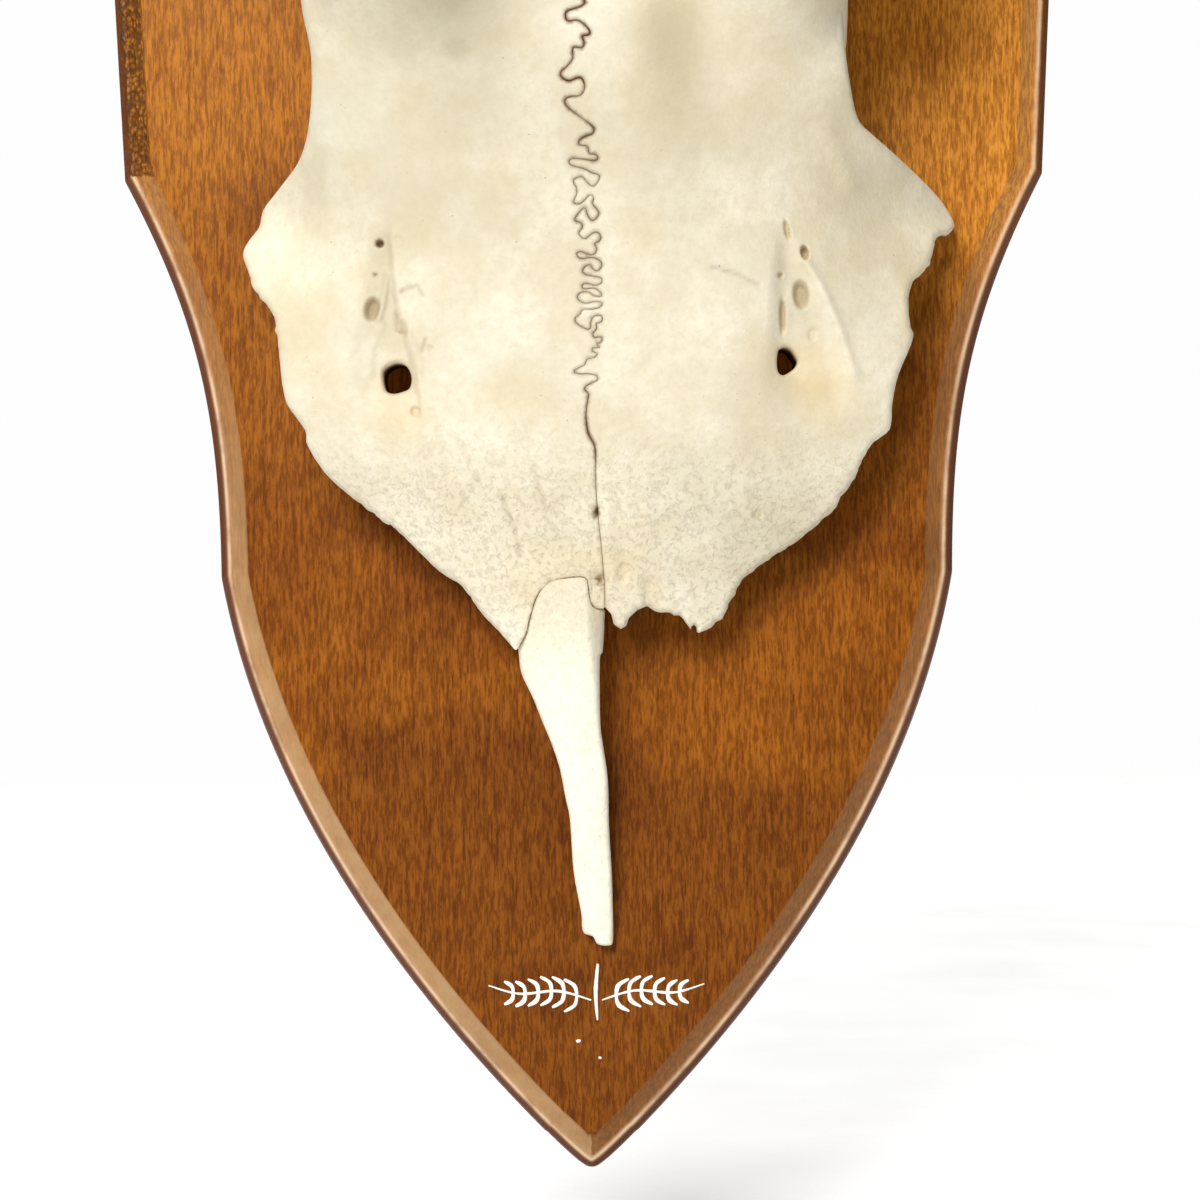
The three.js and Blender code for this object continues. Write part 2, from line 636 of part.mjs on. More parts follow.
// The burr at the antler's base, a collar of knobs.
function coronet(point, heading) {
  const across = new THREE.Vector3(1, 0, 0).cross(heading).normalize();
  const sideways = heading.clone().cross(across);
  const rings = CORONET_LAYERS.map(([along, radius]) => {
    const centre = point.clone().addScaledVector(heading, along + GAP / 2);
    const knobHeight = 0.07 * Math.min(1, radius / 16);
    const knobbed = (angle) => radius * (1 + knobHeight * Math.cos(CORONET_KNOBS * angle));
    return ringAround(centre, across, sideways, CORONET_KNOBS * 3, knobbed);
  });
  return toSolid(ringBody(rings));
}

// Bony beads on the lower beam, laid out by the golden angle round its front and inner sides.
function pearls(beam, side) {
  const beads = [];
  for (let bead = 0; bead < PEARLS.count; bead += 1) {
    const fraction = bead / (PEARLS.count - 1);
    const level = THREE.MathUtils.lerp(PEARLS.firstZ, PEARLS.lastZ, fraction);
    const { t, point, heading } = levelOn(beam.curve, level);
    const angle = bead * GOLDEN_ANGLE;
    const forward = -0.6 * Math.abs(Math.sin(angle));
    const inwards = new THREE.Vector3(-side * Math.cos(angle), forward, 0.3 * Math.sin(angle));
    const spoke = inwards.addScaledVector(heading, -inwards.dot(heading)).normalize();
    const radius = PEARLS.radius * (1 - 0.4 * fraction);
    point.addScaledVector(spoke, beam.radiusAt(t));
    beads.push(toSolid(new THREE.IcosahedronGeometry(radius, 0).translate(point.x, point.y, point.z)));
  }
  return beads;
}

function joined(solids) {
  return solids.reduce((whole, solid) => whole.add(solid));
}

// One antler parted at its forks, and the pedicle that belongs to the frontal bone.
function antler(side) {
  const fluted = (angle) => 1 + 0.045 * Math.cos(5 * angle);
  const plain = () => 1;
  const beam = limb(BEAM_STOPS, side, BEAM_SIDES, fluted);
  const grownStops = BEAM_STOPS.map(([out, height, z, radius]) => [out, height, z, radius + GAP]);
  const grownBeam = limb(grownStops, side, BEAM_SIDES, fluted).solid;
  const frontTine = limb(FRONT_TINE_STOPS, side, TINE_SIDES, plain).solid.subtract(grownBeam);
  const rearTine = limb(REAR_TINE_STOPS, side, TINE_SIDES, plain).solid.subtract(grownBeam);

  const base = beam.curve.getPoint(CORONET_STOP / (BEAM_STOPS.length - 1));
  const baseHeading = beam.curve.getTangent(CORONET_STOP / (BEAM_STOPS.length - 1));
  const [aboveBase, pedicle] = partAt(beam.solid, base, baseHeading);
  const frontFork = levelOn(beam.curve, FRONT_FORK_Z);
  const [aboveFrontFork, lowerBeam] = partAt(aboveBase, frontFork.point, frontFork.heading);
  const rearFork = levelOn(beam.curve, REAR_FORK_Z);
  const [topTine, upperBeam] = partAt(aboveFrontFork, rearFork.point, rearFork.heading);

  return {
    pedicle,
    pieces: {
      beam_lower: joined([lowerBeam, coronet(base, baseHeading), ...pearls(beam, side)]),
      front_tine: frontTine,
      beam_upper: upperBeam,
      rear_tine: rearTine,
      top_tine: topTine,
    },
  };
}

// The whole trophy

function skullScrew(side, growth) {
  return screw(SKULL_SCREWS, side * SKULL_SCREWS.x, SKULL_SCREWS.z, SKULL_SCREWS.sunk, growth);
}

function hangerScrew(end, growth) {
  return screw(HANGER_SCREWS, 0, HANGER.z + end * HANGER_SCREWS.reach, HANGER.sunk, growth);
}

function board() {
  const recessDepth = HANGER.sunk + HANGER.thickness + GAP;
  const cuts = [
    box(160, 40, 20, 0, -10, BOARD_TIP_Z - 10),
    box(2 * (HANGER.halfWidth + GAP), 2 * recessDepth, 2 * (HANGER.halfLength + GAP), 0, 0, HANGER.z),
    plug(HANGER.pocketRadius, HANGER.pocketDepth, 0, 0, HANGER.z),
    skullScrew(-1, GAP),
    skullScrew(1, GAP),
    hangerScrew(-1, GAP),
    hangerScrew(1, GAP),
  ];
  return cuts.reduce((wood, cut) => wood.subtract(cut), boardBlank());
}

function hangerPlate() {
  const { z, halfWidth, halfLength, thickness, sunk, eyeRadius } = HANGER;
  const plate = box(2 * halfWidth, thickness, 2 * halfLength, 0, -sunk - thickness / 2, z);
  const eye = plug(eyeRadius, 8, -1, 0, z);
  const cuts = [eye, hangerScrew(-1, GAP), hangerScrew(1, GAP)];
  return cuts.reduce((metal, cut) => metal.subtract(cut), plate);
}

function trophy() {
  const group = new THREE.Group();
  group.add(part('board', board(), WOOD));
  const frontals = {
    right: { side: -1, bone: frontalBone(-1, RIGHT_OUTER_EDGE, RIGHT_NASAL_MARGIN), hole: RIGHT_FORAMEN },
    left: { side: 1, bone: frontalBone(1, LEFT_OUTER_EDGE, LEFT_NASAL_MARGIN), hole: LEFT_FORAMEN },
  };
  for (const [name, { side, bone, hole }] of Object.entries(frontals)) {
    const { pedicle, pieces } = antler(side);
    const frontal = bone.add(pedicle).subtract(foramen(hole)).subtract(skullScrew(side, GAP));
    group.add(part(`frontal_${name}`, frontal, BONE));
    for (const [piece, solid] of Object.entries(pieces)) {
      const finish = piece.endsWith('tine') ? PALE_TIP : ANTLER;
      group.add(part(`antler_${name}_${piece}`, solid, finish));
    }
    group.add(part(`skull_screw_${name}`, skullScrew(side, 0), STEEL));
  }
  group.add(part('nasal_right', nasalBone(), BONE));
  group.add(part('braincase', braincase(), BONE));
  group.add(part('hanger_plate', hangerPlate(), BRASS));
  group.add(part('hanger_screw_lower', hangerScrew(-1, 0), BRASS));
  group.add(part('hanger_screw_upper', hangerScrew(1, 0), BRASS));
  return group;
}

export default trophy();
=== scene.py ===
# A roe deer's skull cap with its antlers on a pointed wooden wall shield, over a pale floor.
#
# Shapes are worked out in millimetres in the frame's own axes: +Z up the shield, +X to the right for
# someone who faces it, the wall in the plane y = 0. Places on the skull are (x, height, z), where
# height counts from the front of the wood. The animal's own right side is on -X.
import math

import bmesh
import bpy
import numpy as np
from mathutils import Matrix, Vector, kdtree
from mathutils.geometry import delaunay_2d_cdt


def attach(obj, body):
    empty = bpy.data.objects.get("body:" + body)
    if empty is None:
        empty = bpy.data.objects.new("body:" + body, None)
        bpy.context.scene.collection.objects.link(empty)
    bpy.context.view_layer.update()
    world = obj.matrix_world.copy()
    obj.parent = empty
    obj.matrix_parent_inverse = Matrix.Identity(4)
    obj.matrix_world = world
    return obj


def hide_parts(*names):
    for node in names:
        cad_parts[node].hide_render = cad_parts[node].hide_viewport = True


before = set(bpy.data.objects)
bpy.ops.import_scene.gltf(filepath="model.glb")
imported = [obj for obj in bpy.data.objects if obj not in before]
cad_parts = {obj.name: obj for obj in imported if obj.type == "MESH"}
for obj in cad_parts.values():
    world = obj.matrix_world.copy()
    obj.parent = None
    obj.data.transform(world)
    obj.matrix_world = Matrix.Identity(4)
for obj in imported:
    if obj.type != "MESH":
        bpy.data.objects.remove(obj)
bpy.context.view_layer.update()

MM = 0.001
# The depth of the shield's front from its back.
WOOD_FRONT = 13.0
# The gap in the seams between the bones.
SEAM_GAP = 0.05
# Corners of a net nearer than this are one.
SAME_PLACE = 1e-7

# Numbers that vary smoothly


def smooth_function(knots):
    """A smooth function through [input, output] pairs, flat beyond both ends."""
    inputs, outputs = np.array(knots, float).T
    before = np.maximum(np.arange(len(inputs)) - 1, 0)
    after = np.minimum(np.arange(len(inputs)) + 1, len(inputs) - 1)
    rise = (outputs[after] - outputs[before]) / (inputs[after] - inputs[before])

    def value(x):
        x = np.asarray(x, float)
        index = np.clip(np.searchsorted(inputs, x, side="right") - 1, 0, len(inputs) - 2)
        span = inputs[index + 1] - inputs[index]
        t = np.clip((x - inputs[index]) / span, 0, 1)
        start_weight = 1 - t * t * (3 - 2 * t)
        curl = t * (1 - t) * span
        blend = outputs[index] * start_weight + outputs[index + 1] * (1 - start_weight)
        return blend + curl * ((1 - t) * rise[index] - t * rise[index + 1])

    return value


def ramp(x, low, high):
    """0 below low, 1 above high and smooth between them; falling where high is the lower one."""
    t = np.clip((np.asarray(x, float) - low) / (high - low), 0, 1)
    return t * t * (3 - 2 * t)


def bell(distance, width):
    """1 at no distance, falling softly to both sides over a width."""
    return np.exp(-((distance / width) ** 2))


def lattice_value(cells, seed):
    """A number from -1 to 1 for each whole-numbered cell, always the same for the same seed."""
    mixed = cells[:, 0] * 73856093 ^ cells[:, 1] * 19349663 ^ cells[:, 2] * 83492791 ^ (seed * 69069 + 5)
    mixed = (mixed ^ (mixed >> 13)) & 0x7FFFFFFF
    mixed = (mixed * 1274126177) & 0x7FFFFFFF
    mixed = (mixed ^ (mixed >> 15)) & 0xFFFF
    return mixed / 32767.5 - 1


def blotches(points, cell, seed, octaves=1):
    """Smooth noise from -1 to 1 at an (n, 3) array of places, with blotches of the size of a cell."""
    total = np.zeros(len(points))
    for octave in range(octaves):
        scaled = points / (cell / 2**octave)
        corner = np.floor(scaled).astype(np.int64)
        t = scaled - corner
        t = t * t * (3 - 2 * t)
        for offset in np.ndindex(2, 2, 2):
            weight = np.prod(np.where(np.array(offset) == 1, t, 1 - t), axis=1)
            total += weight * lattice_value(corner + np.array(offset), seed + octave) / 2**octave
    return total


def flat_places(x, z):
    """Places on the plan as places in space, for noise."""
    return np.stack([x, np.zeros_like(x), z], axis=1)


# Lines and meshes


def resampled(points, spacing, closed=True):
    """Points at even steps along a line of straight pieces."""
    points = np.array(points, float)
    if closed:
        points = np.vstack([points, points[:1]])
    lengths = np.concatenate([[0], np.cumsum(np.linalg.norm(np.diff(points, axis=0), axis=1))])
    count = max(int(round(lengths[-1] / spacing)), 3)
    stops = np.linspace(0, lengths[-1], count + 1)
    if closed:
        stops = stops[:-1]
    return np.stack([np.interp(stops, lengths, points[:, axis]) for axis in range(points.shape[1])], axis=1)


def rounded(points, closed=False, steps=6):
    """A Catmull-Rom curve through points."""
    points = np.array(points, float)
    count = len(points)
    spans = count if closed else count - 1
    result = []
    for span in range(spans):
        if closed:
            a, b, c, d = (points[(span + shift) % count] for shift in (-1, 0, 1, 2))
        else:
            a, b, c, d = (points[min(max(span + shift, 0), count - 1)] for shift in (-1, 0, 1, 2))
        square = 2 * a - 5 * b + 4 * c - d
        cube = 3 * b - a - 3 * c + d
        for t in np.arange(steps) / steps:
            result.append(0.5 * (2 * b + (c - a) * t + square * t**2 + cube * t**3))
    if not closed:
        result.append(points[-1])
    return np.array(result)


def full_turn(count):
    """Evenly spaced angles round a circle."""
    return np.linspace(0, 2 * math.pi, count, endpoint=False)


def search_tree(places):
    """A tree that finds the nearest of some places in space."""
    tree = kdtree.KDTree(len(places))
    for index, place in enumerate(places):
        tree.insert(place, index)
    tree.balance()
    return tree


def distance_to(points, places):
    """Distance from each of the places on the plan to the nearest of the points on it."""
    tree = search_tree([(x, z, 0) for x, z in points])
    return np.array([tree.find((x, z, 0))[2] for x, z in places])


def line_distance(x, z, lines):
    """Distance from places on the plan to the nearest of some lines."""
    points = np.vstack([resampled(line, 0.15, closed=False) for line in lines])
    return distance_to(points, np.stack([x, z], axis=1))


def ragged(points, reach, cell, seed):
    """A closed line with small bites and teeth, pushed sideways by noise."""
    ahead = np.roll(points, -1, axis=0) - np.roll(points, 1, axis=0)
    side = np.stack([ahead[:, 1], -ahead[:, 0]], axis=1)
    side /= np.linalg.norm(side, axis=1, keepdims=True) + 1e-9
    places = flat_places(points[:, 0], points[:, 1])
    patchy = 0.15 + 0.85 * ramp(blotches(places, 5 * cell, seed + 7), -0.35, 0.5)
    push = 0.6 * blotches(places, cell, seed, 2) + 0.5 * blotches(places, 0.45 * cell, seed + 3)
    return points + side * (push * patchy * reach)[:, None]


def row_inside(x, z, loops):
    """Which of the places x on the level z lie inside the loops, holes left out."""
    crossings = []
    for loop in loops:
        start, end = loop, np.roll(loop, -1, axis=0)
        hit = (start[:, 1] > z) != (end[:, 1] > z)
        share = (z - start[hit, 1]) / (end[hit, 1] - start[hit, 1])
        crossings.extend(start[hit, 0] + share * (end[hit, 0] - start[hit, 0]))
    return np.searchsorted(np.sort(crossings), x) % 2 == 1


def net(loops, spacing, patches=()):
    """Corners and triangles that fill the loops, and each corner's distance to the nearest loop.

    Inside the patches, given as (low x, high x, low z, high z), the corners stand twice as close.
    """
    loops = [facing(loop, index == 0) for index, loop in enumerate(loops)]
    rim = np.vstack(loops)
    margin = 0.4 * spacing
    fill = lattice(loops, spacing)
    for low_x, high_x, low_z, high_z in patches:
        outside = np.abs(fill[:, 0] - (low_x + high_x) / 2) > (high_x - low_x) / 2 + margin
        outside |= np.abs(fill[:, 1] - (low_z + high_z) / 2) > (high_z - low_z) / 2 + margin
        fine = lattice(loops, spacing / 2, (low_x, high_x, low_z, high_z))
        fill = np.vstack([fill[outside], fine])
    reach = distance_to(rim, fill)
    keep = reach > margin
    corners = np.vstack([rim, fill[keep]])
    distance = np.concatenate([np.zeros(len(rim)), reach[keep]])
    borders = []
    start = 0
    for loop in loops:
        borders.extend((start + step, start + (step + 1) % len(loop)) for step in range(len(loop)))
        start += len(loop)
    points = [Vector(corner) for corner in corners.tolist()]
    places, _, triangles, sources, _, _ = delaunay_2d_cdt(points, borders, [], 0, SAME_PLACE)
    places = np.array([tuple(place) for place in places])
    source = np.array([origin[0] if origin else 0 for origin in sources])
    triangles = np.array(triangles)
    named = source[triangles]
    inside_edges = set(borders)
    outside_edges = {(end, begin) for begin, end in borders}
    kept = np.ones(len(triangles), bool)
    for index in np.flatnonzero((named < len(rim)).all(axis=1)):
        a, b, c = (int(corner) for corner in named[index])
        edges = {(a, b), (b, c), (c, a)}
        if edges & outside_edges:
            kept[index] = False
        elif not edges & inside_edges:
            x, z = places[triangles[index]].mean(axis=0)
            kept[index] = bool(row_inside(np.array([x]), z, loops)[0])
    return places, triangles[kept], distance[source]


def lattice(loops, spacing, box=None):
    """Evenly staggered places inside loops, or only inside a box of their plan."""
    if box is None:
        low, high = loops[0].min(axis=0), loops[0].max(axis=0)
    else:
        low, high = np.array([box[0], box[2]]), np.array([box[1], box[3]])
    result = []
    for row, z in enumerate(np.arange(low[1] + spacing / 2, high[1], spacing * 0.866)):
        x = np.arange(low[0] + (row % 2) * spacing / 2, high[0], spacing)
        result.extend((place, z) for place in x[row_inside(x, z, loops)])
    return np.array(result)


def facing(loop, counterclockwise):
    """The loop, turned round where it runs the wrong way."""
    x, z = loop.T
    turns = float(np.sum(x * np.roll(z, -1) - np.roll(x, -1) * z)) > 0
    return loop if turns == counterclockwise else loop[::-1]


def open_edges(triangles):
    """The directed edges that only one triangle uses."""
    edges = np.vstack([triangles[:, [0, 1]], triangles[:, [1, 2]], triangles[:, [2, 0]]])
    codes = edges[:, 0] * 10_000_000 + edges[:, 1]
    backwards = edges[:, 1] * 10_000_000 + edges[:, 0]
    return edges[~np.isin(codes, backwards)]


def skull_place(x, height, z):
    """Places in the frame from their height over the wood."""
    return np.stack([x, -(WOOD_FRONT + height), z], axis=1)


def new_mesh(name, corners, faces):
    mesh = bpy.data.meshes.new(name)
    mesh.from_pydata((np.asarray(corners) * MM).tolist(), [], np.asarray(faces).tolist())
    mesh.polygons.foreach_set("use_smooth", [True] * len(mesh.polygons))
    mesh.update()
    return mesh


def new_piece(name, mesh, material, slot, *nodes):
    """A piece of the trophy, which stands for the given nodes of the solid model."""
    piece = bpy.data.objects.new(name, mesh)
    bpy.context.scene.collection.objects.link(piece)
    mesh.materials.clear()
    mesh.materials.append(material)
    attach(piece, "root")
    if nodes:
        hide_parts(*nodes)
    return piece


def marks(mesh, values):
    """Stores four numbers a corner, which the materials read as amounts of colour."""
    layer = mesh.color_attributes.new("marks", "FLOAT_COLOR", "POINT")
    layer.data.foreach_set("color", np.asarray(values, np.float32).ravel())


def corners_of(mesh):
    flat = np.empty(len(mesh.vertices) * 3)
    mesh.vertices.foreach_get("co", flat)
    return flat.reshape(-1, 3) / MM


def set_corners(mesh, corners):
    mesh.vertices.foreach_set("co", (corners * MM).ravel())
    mesh.update()


def normals_of(mesh):
    flat = np.empty(len(mesh.vertices) * 3)
    mesh.vertices.foreach_get("normal", flat)
    return flat.reshape(-1, 3)


def relaxed(mesh, weights, rounds):
    """Corners drawn towards the middle of their neighbours, by a weight for each."""
    edges = np.empty(len(mesh.edges) * 2, np.int64)
    mesh.edges.foreach_get("vertices", edges)
    a, b = edges.reshape(-1, 2).T
    corners = corners_of(mesh)
    count = np.bincount(a, minlength=len(corners)) + np.bincount(b, minlength=len(corners))
    for _ in range(rounds):
        total = np.zeros_like(corners)
        for axis in range(3):
            total[:, axis] = np.bincount(a, corners[b, axis], len(corners))
            total[:, axis] += np.bincount(b, corners[a, axis], len(corners))
        corners += (total / count[:, None] - corners) * weights[:, None]
    set_corners(mesh, corners)


def applied(mesh, add_modifier):
    """The mesh as it is after a modifier."""
    holder = bpy.data.objects.new("holder", mesh)
    bpy.context.scene.collection.objects.link(holder)
    add_modifier(holder)
    result = bpy.data.meshes.new_from_object(holder.evaluated_get(bpy.context.evaluated_depsgraph_get()))
    bpy.data.objects.remove(holder)
    return result


def combined(mesh, other, operation):
    """Two closed meshes joined, or one cut from the other."""
    tool = bpy.data.objects.new("tool", other)
    bpy.context.scene.collection.objects.link(tool)

    def add_modifier(holder):
        modifier = holder.modifiers.new("boolean", "BOOLEAN")
        modifier.object = tool
        modifier.operation = operation
        modifier.solver = "MANIFOLD"

    result = applied(mesh, add_modifier)
    bpy.data.objects.remove(tool)
    return result


def remeshed(mesh, voxel):
    """The bodies of a mesh melted into one, in even steps."""
    def add_modifier(holder):
        modifier = holder.modifiers.new("remesh", "REMESH")
        modifier.mode = "VOXEL"
        modifier.voxel_size = voxel * MM

    return applied(mesh, add_modifier)


def tube(rings):
    """Corners and faces of a closed body through rings of equal size."""
    rings = np.asarray(rings)
    count, size = rings.shape[:2]
    corners = rings.reshape(-1, 3)
    index = np.arange(count * size).reshape(count, size)
    here, there = index[:-1], index[1:]
    quads = np.stack([here, np.roll(here, -1, 1), np.roll(there, -1, 1), there], axis=-1).reshape(-1, 4)
    return corners, [*map(tuple, quads.tolist()), tuple(index[0][::-1].tolist()), tuple(index[-1].tolist())]


def reworked(mesh, change):
    """The mesh after a change to its corners or faces."""
    shell = bmesh.new()
    shell.from_mesh(mesh)
    change(shell)
    shell.to_mesh(mesh)
    shell.free()
    return mesh


def outward(mesh):
    """Turns a closed mesh's faces out."""
    return reworked(mesh, lambda shell: bmesh.ops.recalc_face_normals(shell, faces=shell.faces))


# The skull cap

# Height of the frontal bones along their middle line and their rim, by level.
MIDLINE_HEIGHT = smooth_function([
    [-109, 10.5], [-103, 13], [-97, 14.7], [-89, 17.3], [-77, 21.3], [-65, 25], [-54, 28], [-40, 31],
    [-20, 33.2], [-8, 34],
])
RIM_HEIGHT = smooth_function([
    [-109, 8.5], [-98, 9.8], [-90, 11.5], [-82, 13.3], [-74, 15.2], [-65, 15.4], [-59, 13], [-54, 10.5],
    [-50, 12.5], [-45, 18], [-38, 23.5], [-30, 25], [-8, 25],
])
# Where the skull's middle runs on the shield, by level.
SEAM_X = smooth_function([
    [-103, 2.3], [-96.7, 2.1], [-89.3, 1.5], [-83, 1.2], [-77, 0.9], [-65, 0.8], [-53.5, 0.4],
    [-42, -0.1], [-37, -1.4], [-30, -0.8], [-18, -0.4],
])
# The rims of the frontal bones as (x, z), from the pedicles down.
RIGHT_RIM = [
    [-32.2, -4], [-33.6, -12], [-34, -20], [-34.1, -28.5], [-33.0, -35.0], [-33.4, -41.2], [-35.0, -46.3],
    [-38.0, -49.3], [-40.6, -51.7], [-41.2, -54.0], [-42.5, -55.7], [-43.1, -57.6], [-42.2, -60.1],
    [-41.0, -63.0], [-38.9, -65.5], [-38.3, -68.6], [-38.0, -72.6], [-37.4, -76.6], [-35.2, -80.0],
    [-34.9, -82.0], [-32.2, -86.1], [-26.3, -91.1], [-24.2, -92.3], [-18.9, -97.7], [-15.8, -99.8],
    [-13.4, -103.2], [-11.0, -105.8], [-9.1, -108.0],
]
LEFT_RIM = [
    [31.8, -4], [32.6, -12], [32.4, -20], [31.8, -29.1], [32.1, -34.2], [32.8, -38.6], [34.0, -42.6],
    [36.0, -44.3], [39.5, -46.5], [42.6, -48.5], [44.9, -50.1], [46.7, -52.0], [47.6, -53.6],
    [47.3, -54.6], [46.4, -55.2], [44.8, -56.1], [43.5, -59.6], [42.8, -60.9], [41.3, -62.1],
    [40.5, -64.5], [40.8, -67.9], [41.1, -69.3], [39.2, -74.0], [38.5, -77.3], [38.2, -80.6],
    [35.8, -82.6], [33.9, -86.6], [31.1, -90.6], [26.4, -94.7], [20.3, -98.7], [18.2, -102.2],
    [16.9, -104.2],
]
LEFT_BROKEN_END = [
    [15.1, -105.6], [14.1, -106.0], [13.6, -105.1], [13.2, -105.7], [12.7, -105.2], [12.3, -104.2],
    [11.8, -103.7], [8.6, -103.2], [7.6, -102.5], [6.4, -103.0], [5.3, -104.0], [5.0, -105.0],
    [4.3, -105.4], [3.4, -104.8], [3.1, -103.5], [2.5, -102.8],
]
# The margin between the right frontal bone and its nasal bone, from the rim to the midline.
NASAL_MARGIN = [
    [-8.8, -107.8], [-7.8, -105.9], [-7.4, -104.4], [-6.9, -102.9], [-6.3, -101.3], [-5.4, -100.0],
    [-4.2, -99.2], [-2.2, -98.9], [-0.8, -98.8], [0.1, -99.2], [0.4, -101.4], [0.9, -102.6],
    [2.2, -102.8],
]
# How far the rims lie off the midline, evened out, by how far down they are.
RIGHT_REACH = smooth_function([
    [4, 32.2], [20, 34], [34, 33.4], [42, 34], [50, 38], [57, 41.2], [63, 40.4], [72, 38], [80, 35.2],
    [86, 31.8], [92, 25], [98, 18.6], [103, 13.4], [108, 9.1],
])
LEFT_REACH = smooth_function([
    [4, 31.9], [20, 32.5], [34, 32.2], [42, 34.2], [50, 40], [56, 43.4], [63, 41.8], [72, 40], [80, 38.2],
    [87, 34], [92, 29.5], [96, 24.6], [100, 19.2], [104.2, 16.9],
])
# The level of the seam behind the pedicles, and where it ends to the right and to the left.
CORONAL_Z = -4.0
CORONAL_RIGHT_X, CORONAL_LEFT_X = -31.9, 31.5
# The level where the right bone's seam ends at its nasal bone.
RIGHT_SEAM_END_Z = -102.6


def rim_reach(x, z):
    """How far the rim of the bone at a place lies off the shield's middle plane."""
    return np.where(x < SEAM_X(z), RIGHT_REACH(-z), LEFT_REACH(-z))


def frontal_top(x, z):
    """Height of the frontal bones' outer face above the wood."""
    side = x - SEAM_X(z)
    reach = rim_reach(x, z) + np.where(side < 0, 1, -1) * SEAM_X(z)
    share = np.clip(np.abs(side) / np.maximum(reach, 4), 0, 1.12)
    descent = 1.5 + 1.1 * ramp(z, -104, -80)
    height = MIDLINE_HEIGHT(z) + (RIM_HEIGHT(z) - MIDLINE_HEIGHT(z)) * share**descent
    height += 3.2 * bell(np.abs(x) - 21.5, 9.5) * bell(np.minimum(z + 20, 0), 9)
    rear = ramp(z, -16, -5)
    return height * (1 - rear) + rear * dome_height(x)


def dome_height(x):
    """Height of the braincase's front end across its width."""
    return DOME_TOP(0) * np.clip(1 - np.abs(x / DOME_HALF_WIDTH(0)) ** 2.5, 0, 1) ** 0.4


# The braincase along its length: level, half width and height, by the number of the stop.
DOME_STOPS = [
    [-3.7, 32.2, 34.2], [0, 31.6, 34], [4, 30, 33.4], [8.5, 27, 32], [12.5, 23.4, 30], [15.2, 20.4, 28.4],
    [17, 18.8, 26.8], [18.4, 17.6, 22], [19.6, 16.6, 13], [20.6, 15.4, 3],
]
DOME_Z, DOME_HALF_WIDTH, DOME_TOP = (
    smooth_function([[index, stop[axis]] for index, stop in enumerate(DOME_STOPS)]) for axis in range(3)
)

# The hole over each eye, as the outline of its mouth in (x, z).
FORAMINA = {
    -1: [[-25.0, -73.9], [-24.9, -73.0], [-24.2, -72.4], [-23.2, -72.1], [-22.2, -72.4], [-21.6, -73.2],
         [-21.4, -74.3], [-21.7, -75.3], [-22.6, -75.7], [-23.8, -75.9], [-24.7, -75.4]],
    1: [[24.0, -71.0], [24.7, -70.6], [25.5, -70.9], [26.1, -71.7], [26.4, -72.4], [26.1, -73.1],
        [25.4, -73.7], [24.6, -74.1], [24.0, -73.8], [23.8, -73.0], [23.8, -71.9]],
}
HOLE_MIDDLES = [np.mean(outline, axis=0) for outline in FORAMINA.values()]
# Where each frontal bone is netted more finely, as (low x, high x, low z, high z).
FOSSA_PATCHES = {-1: (-29.5, -16.5, -79.0, -53.0), 1: (21.5, 33.0, -79.0, -53.0)}

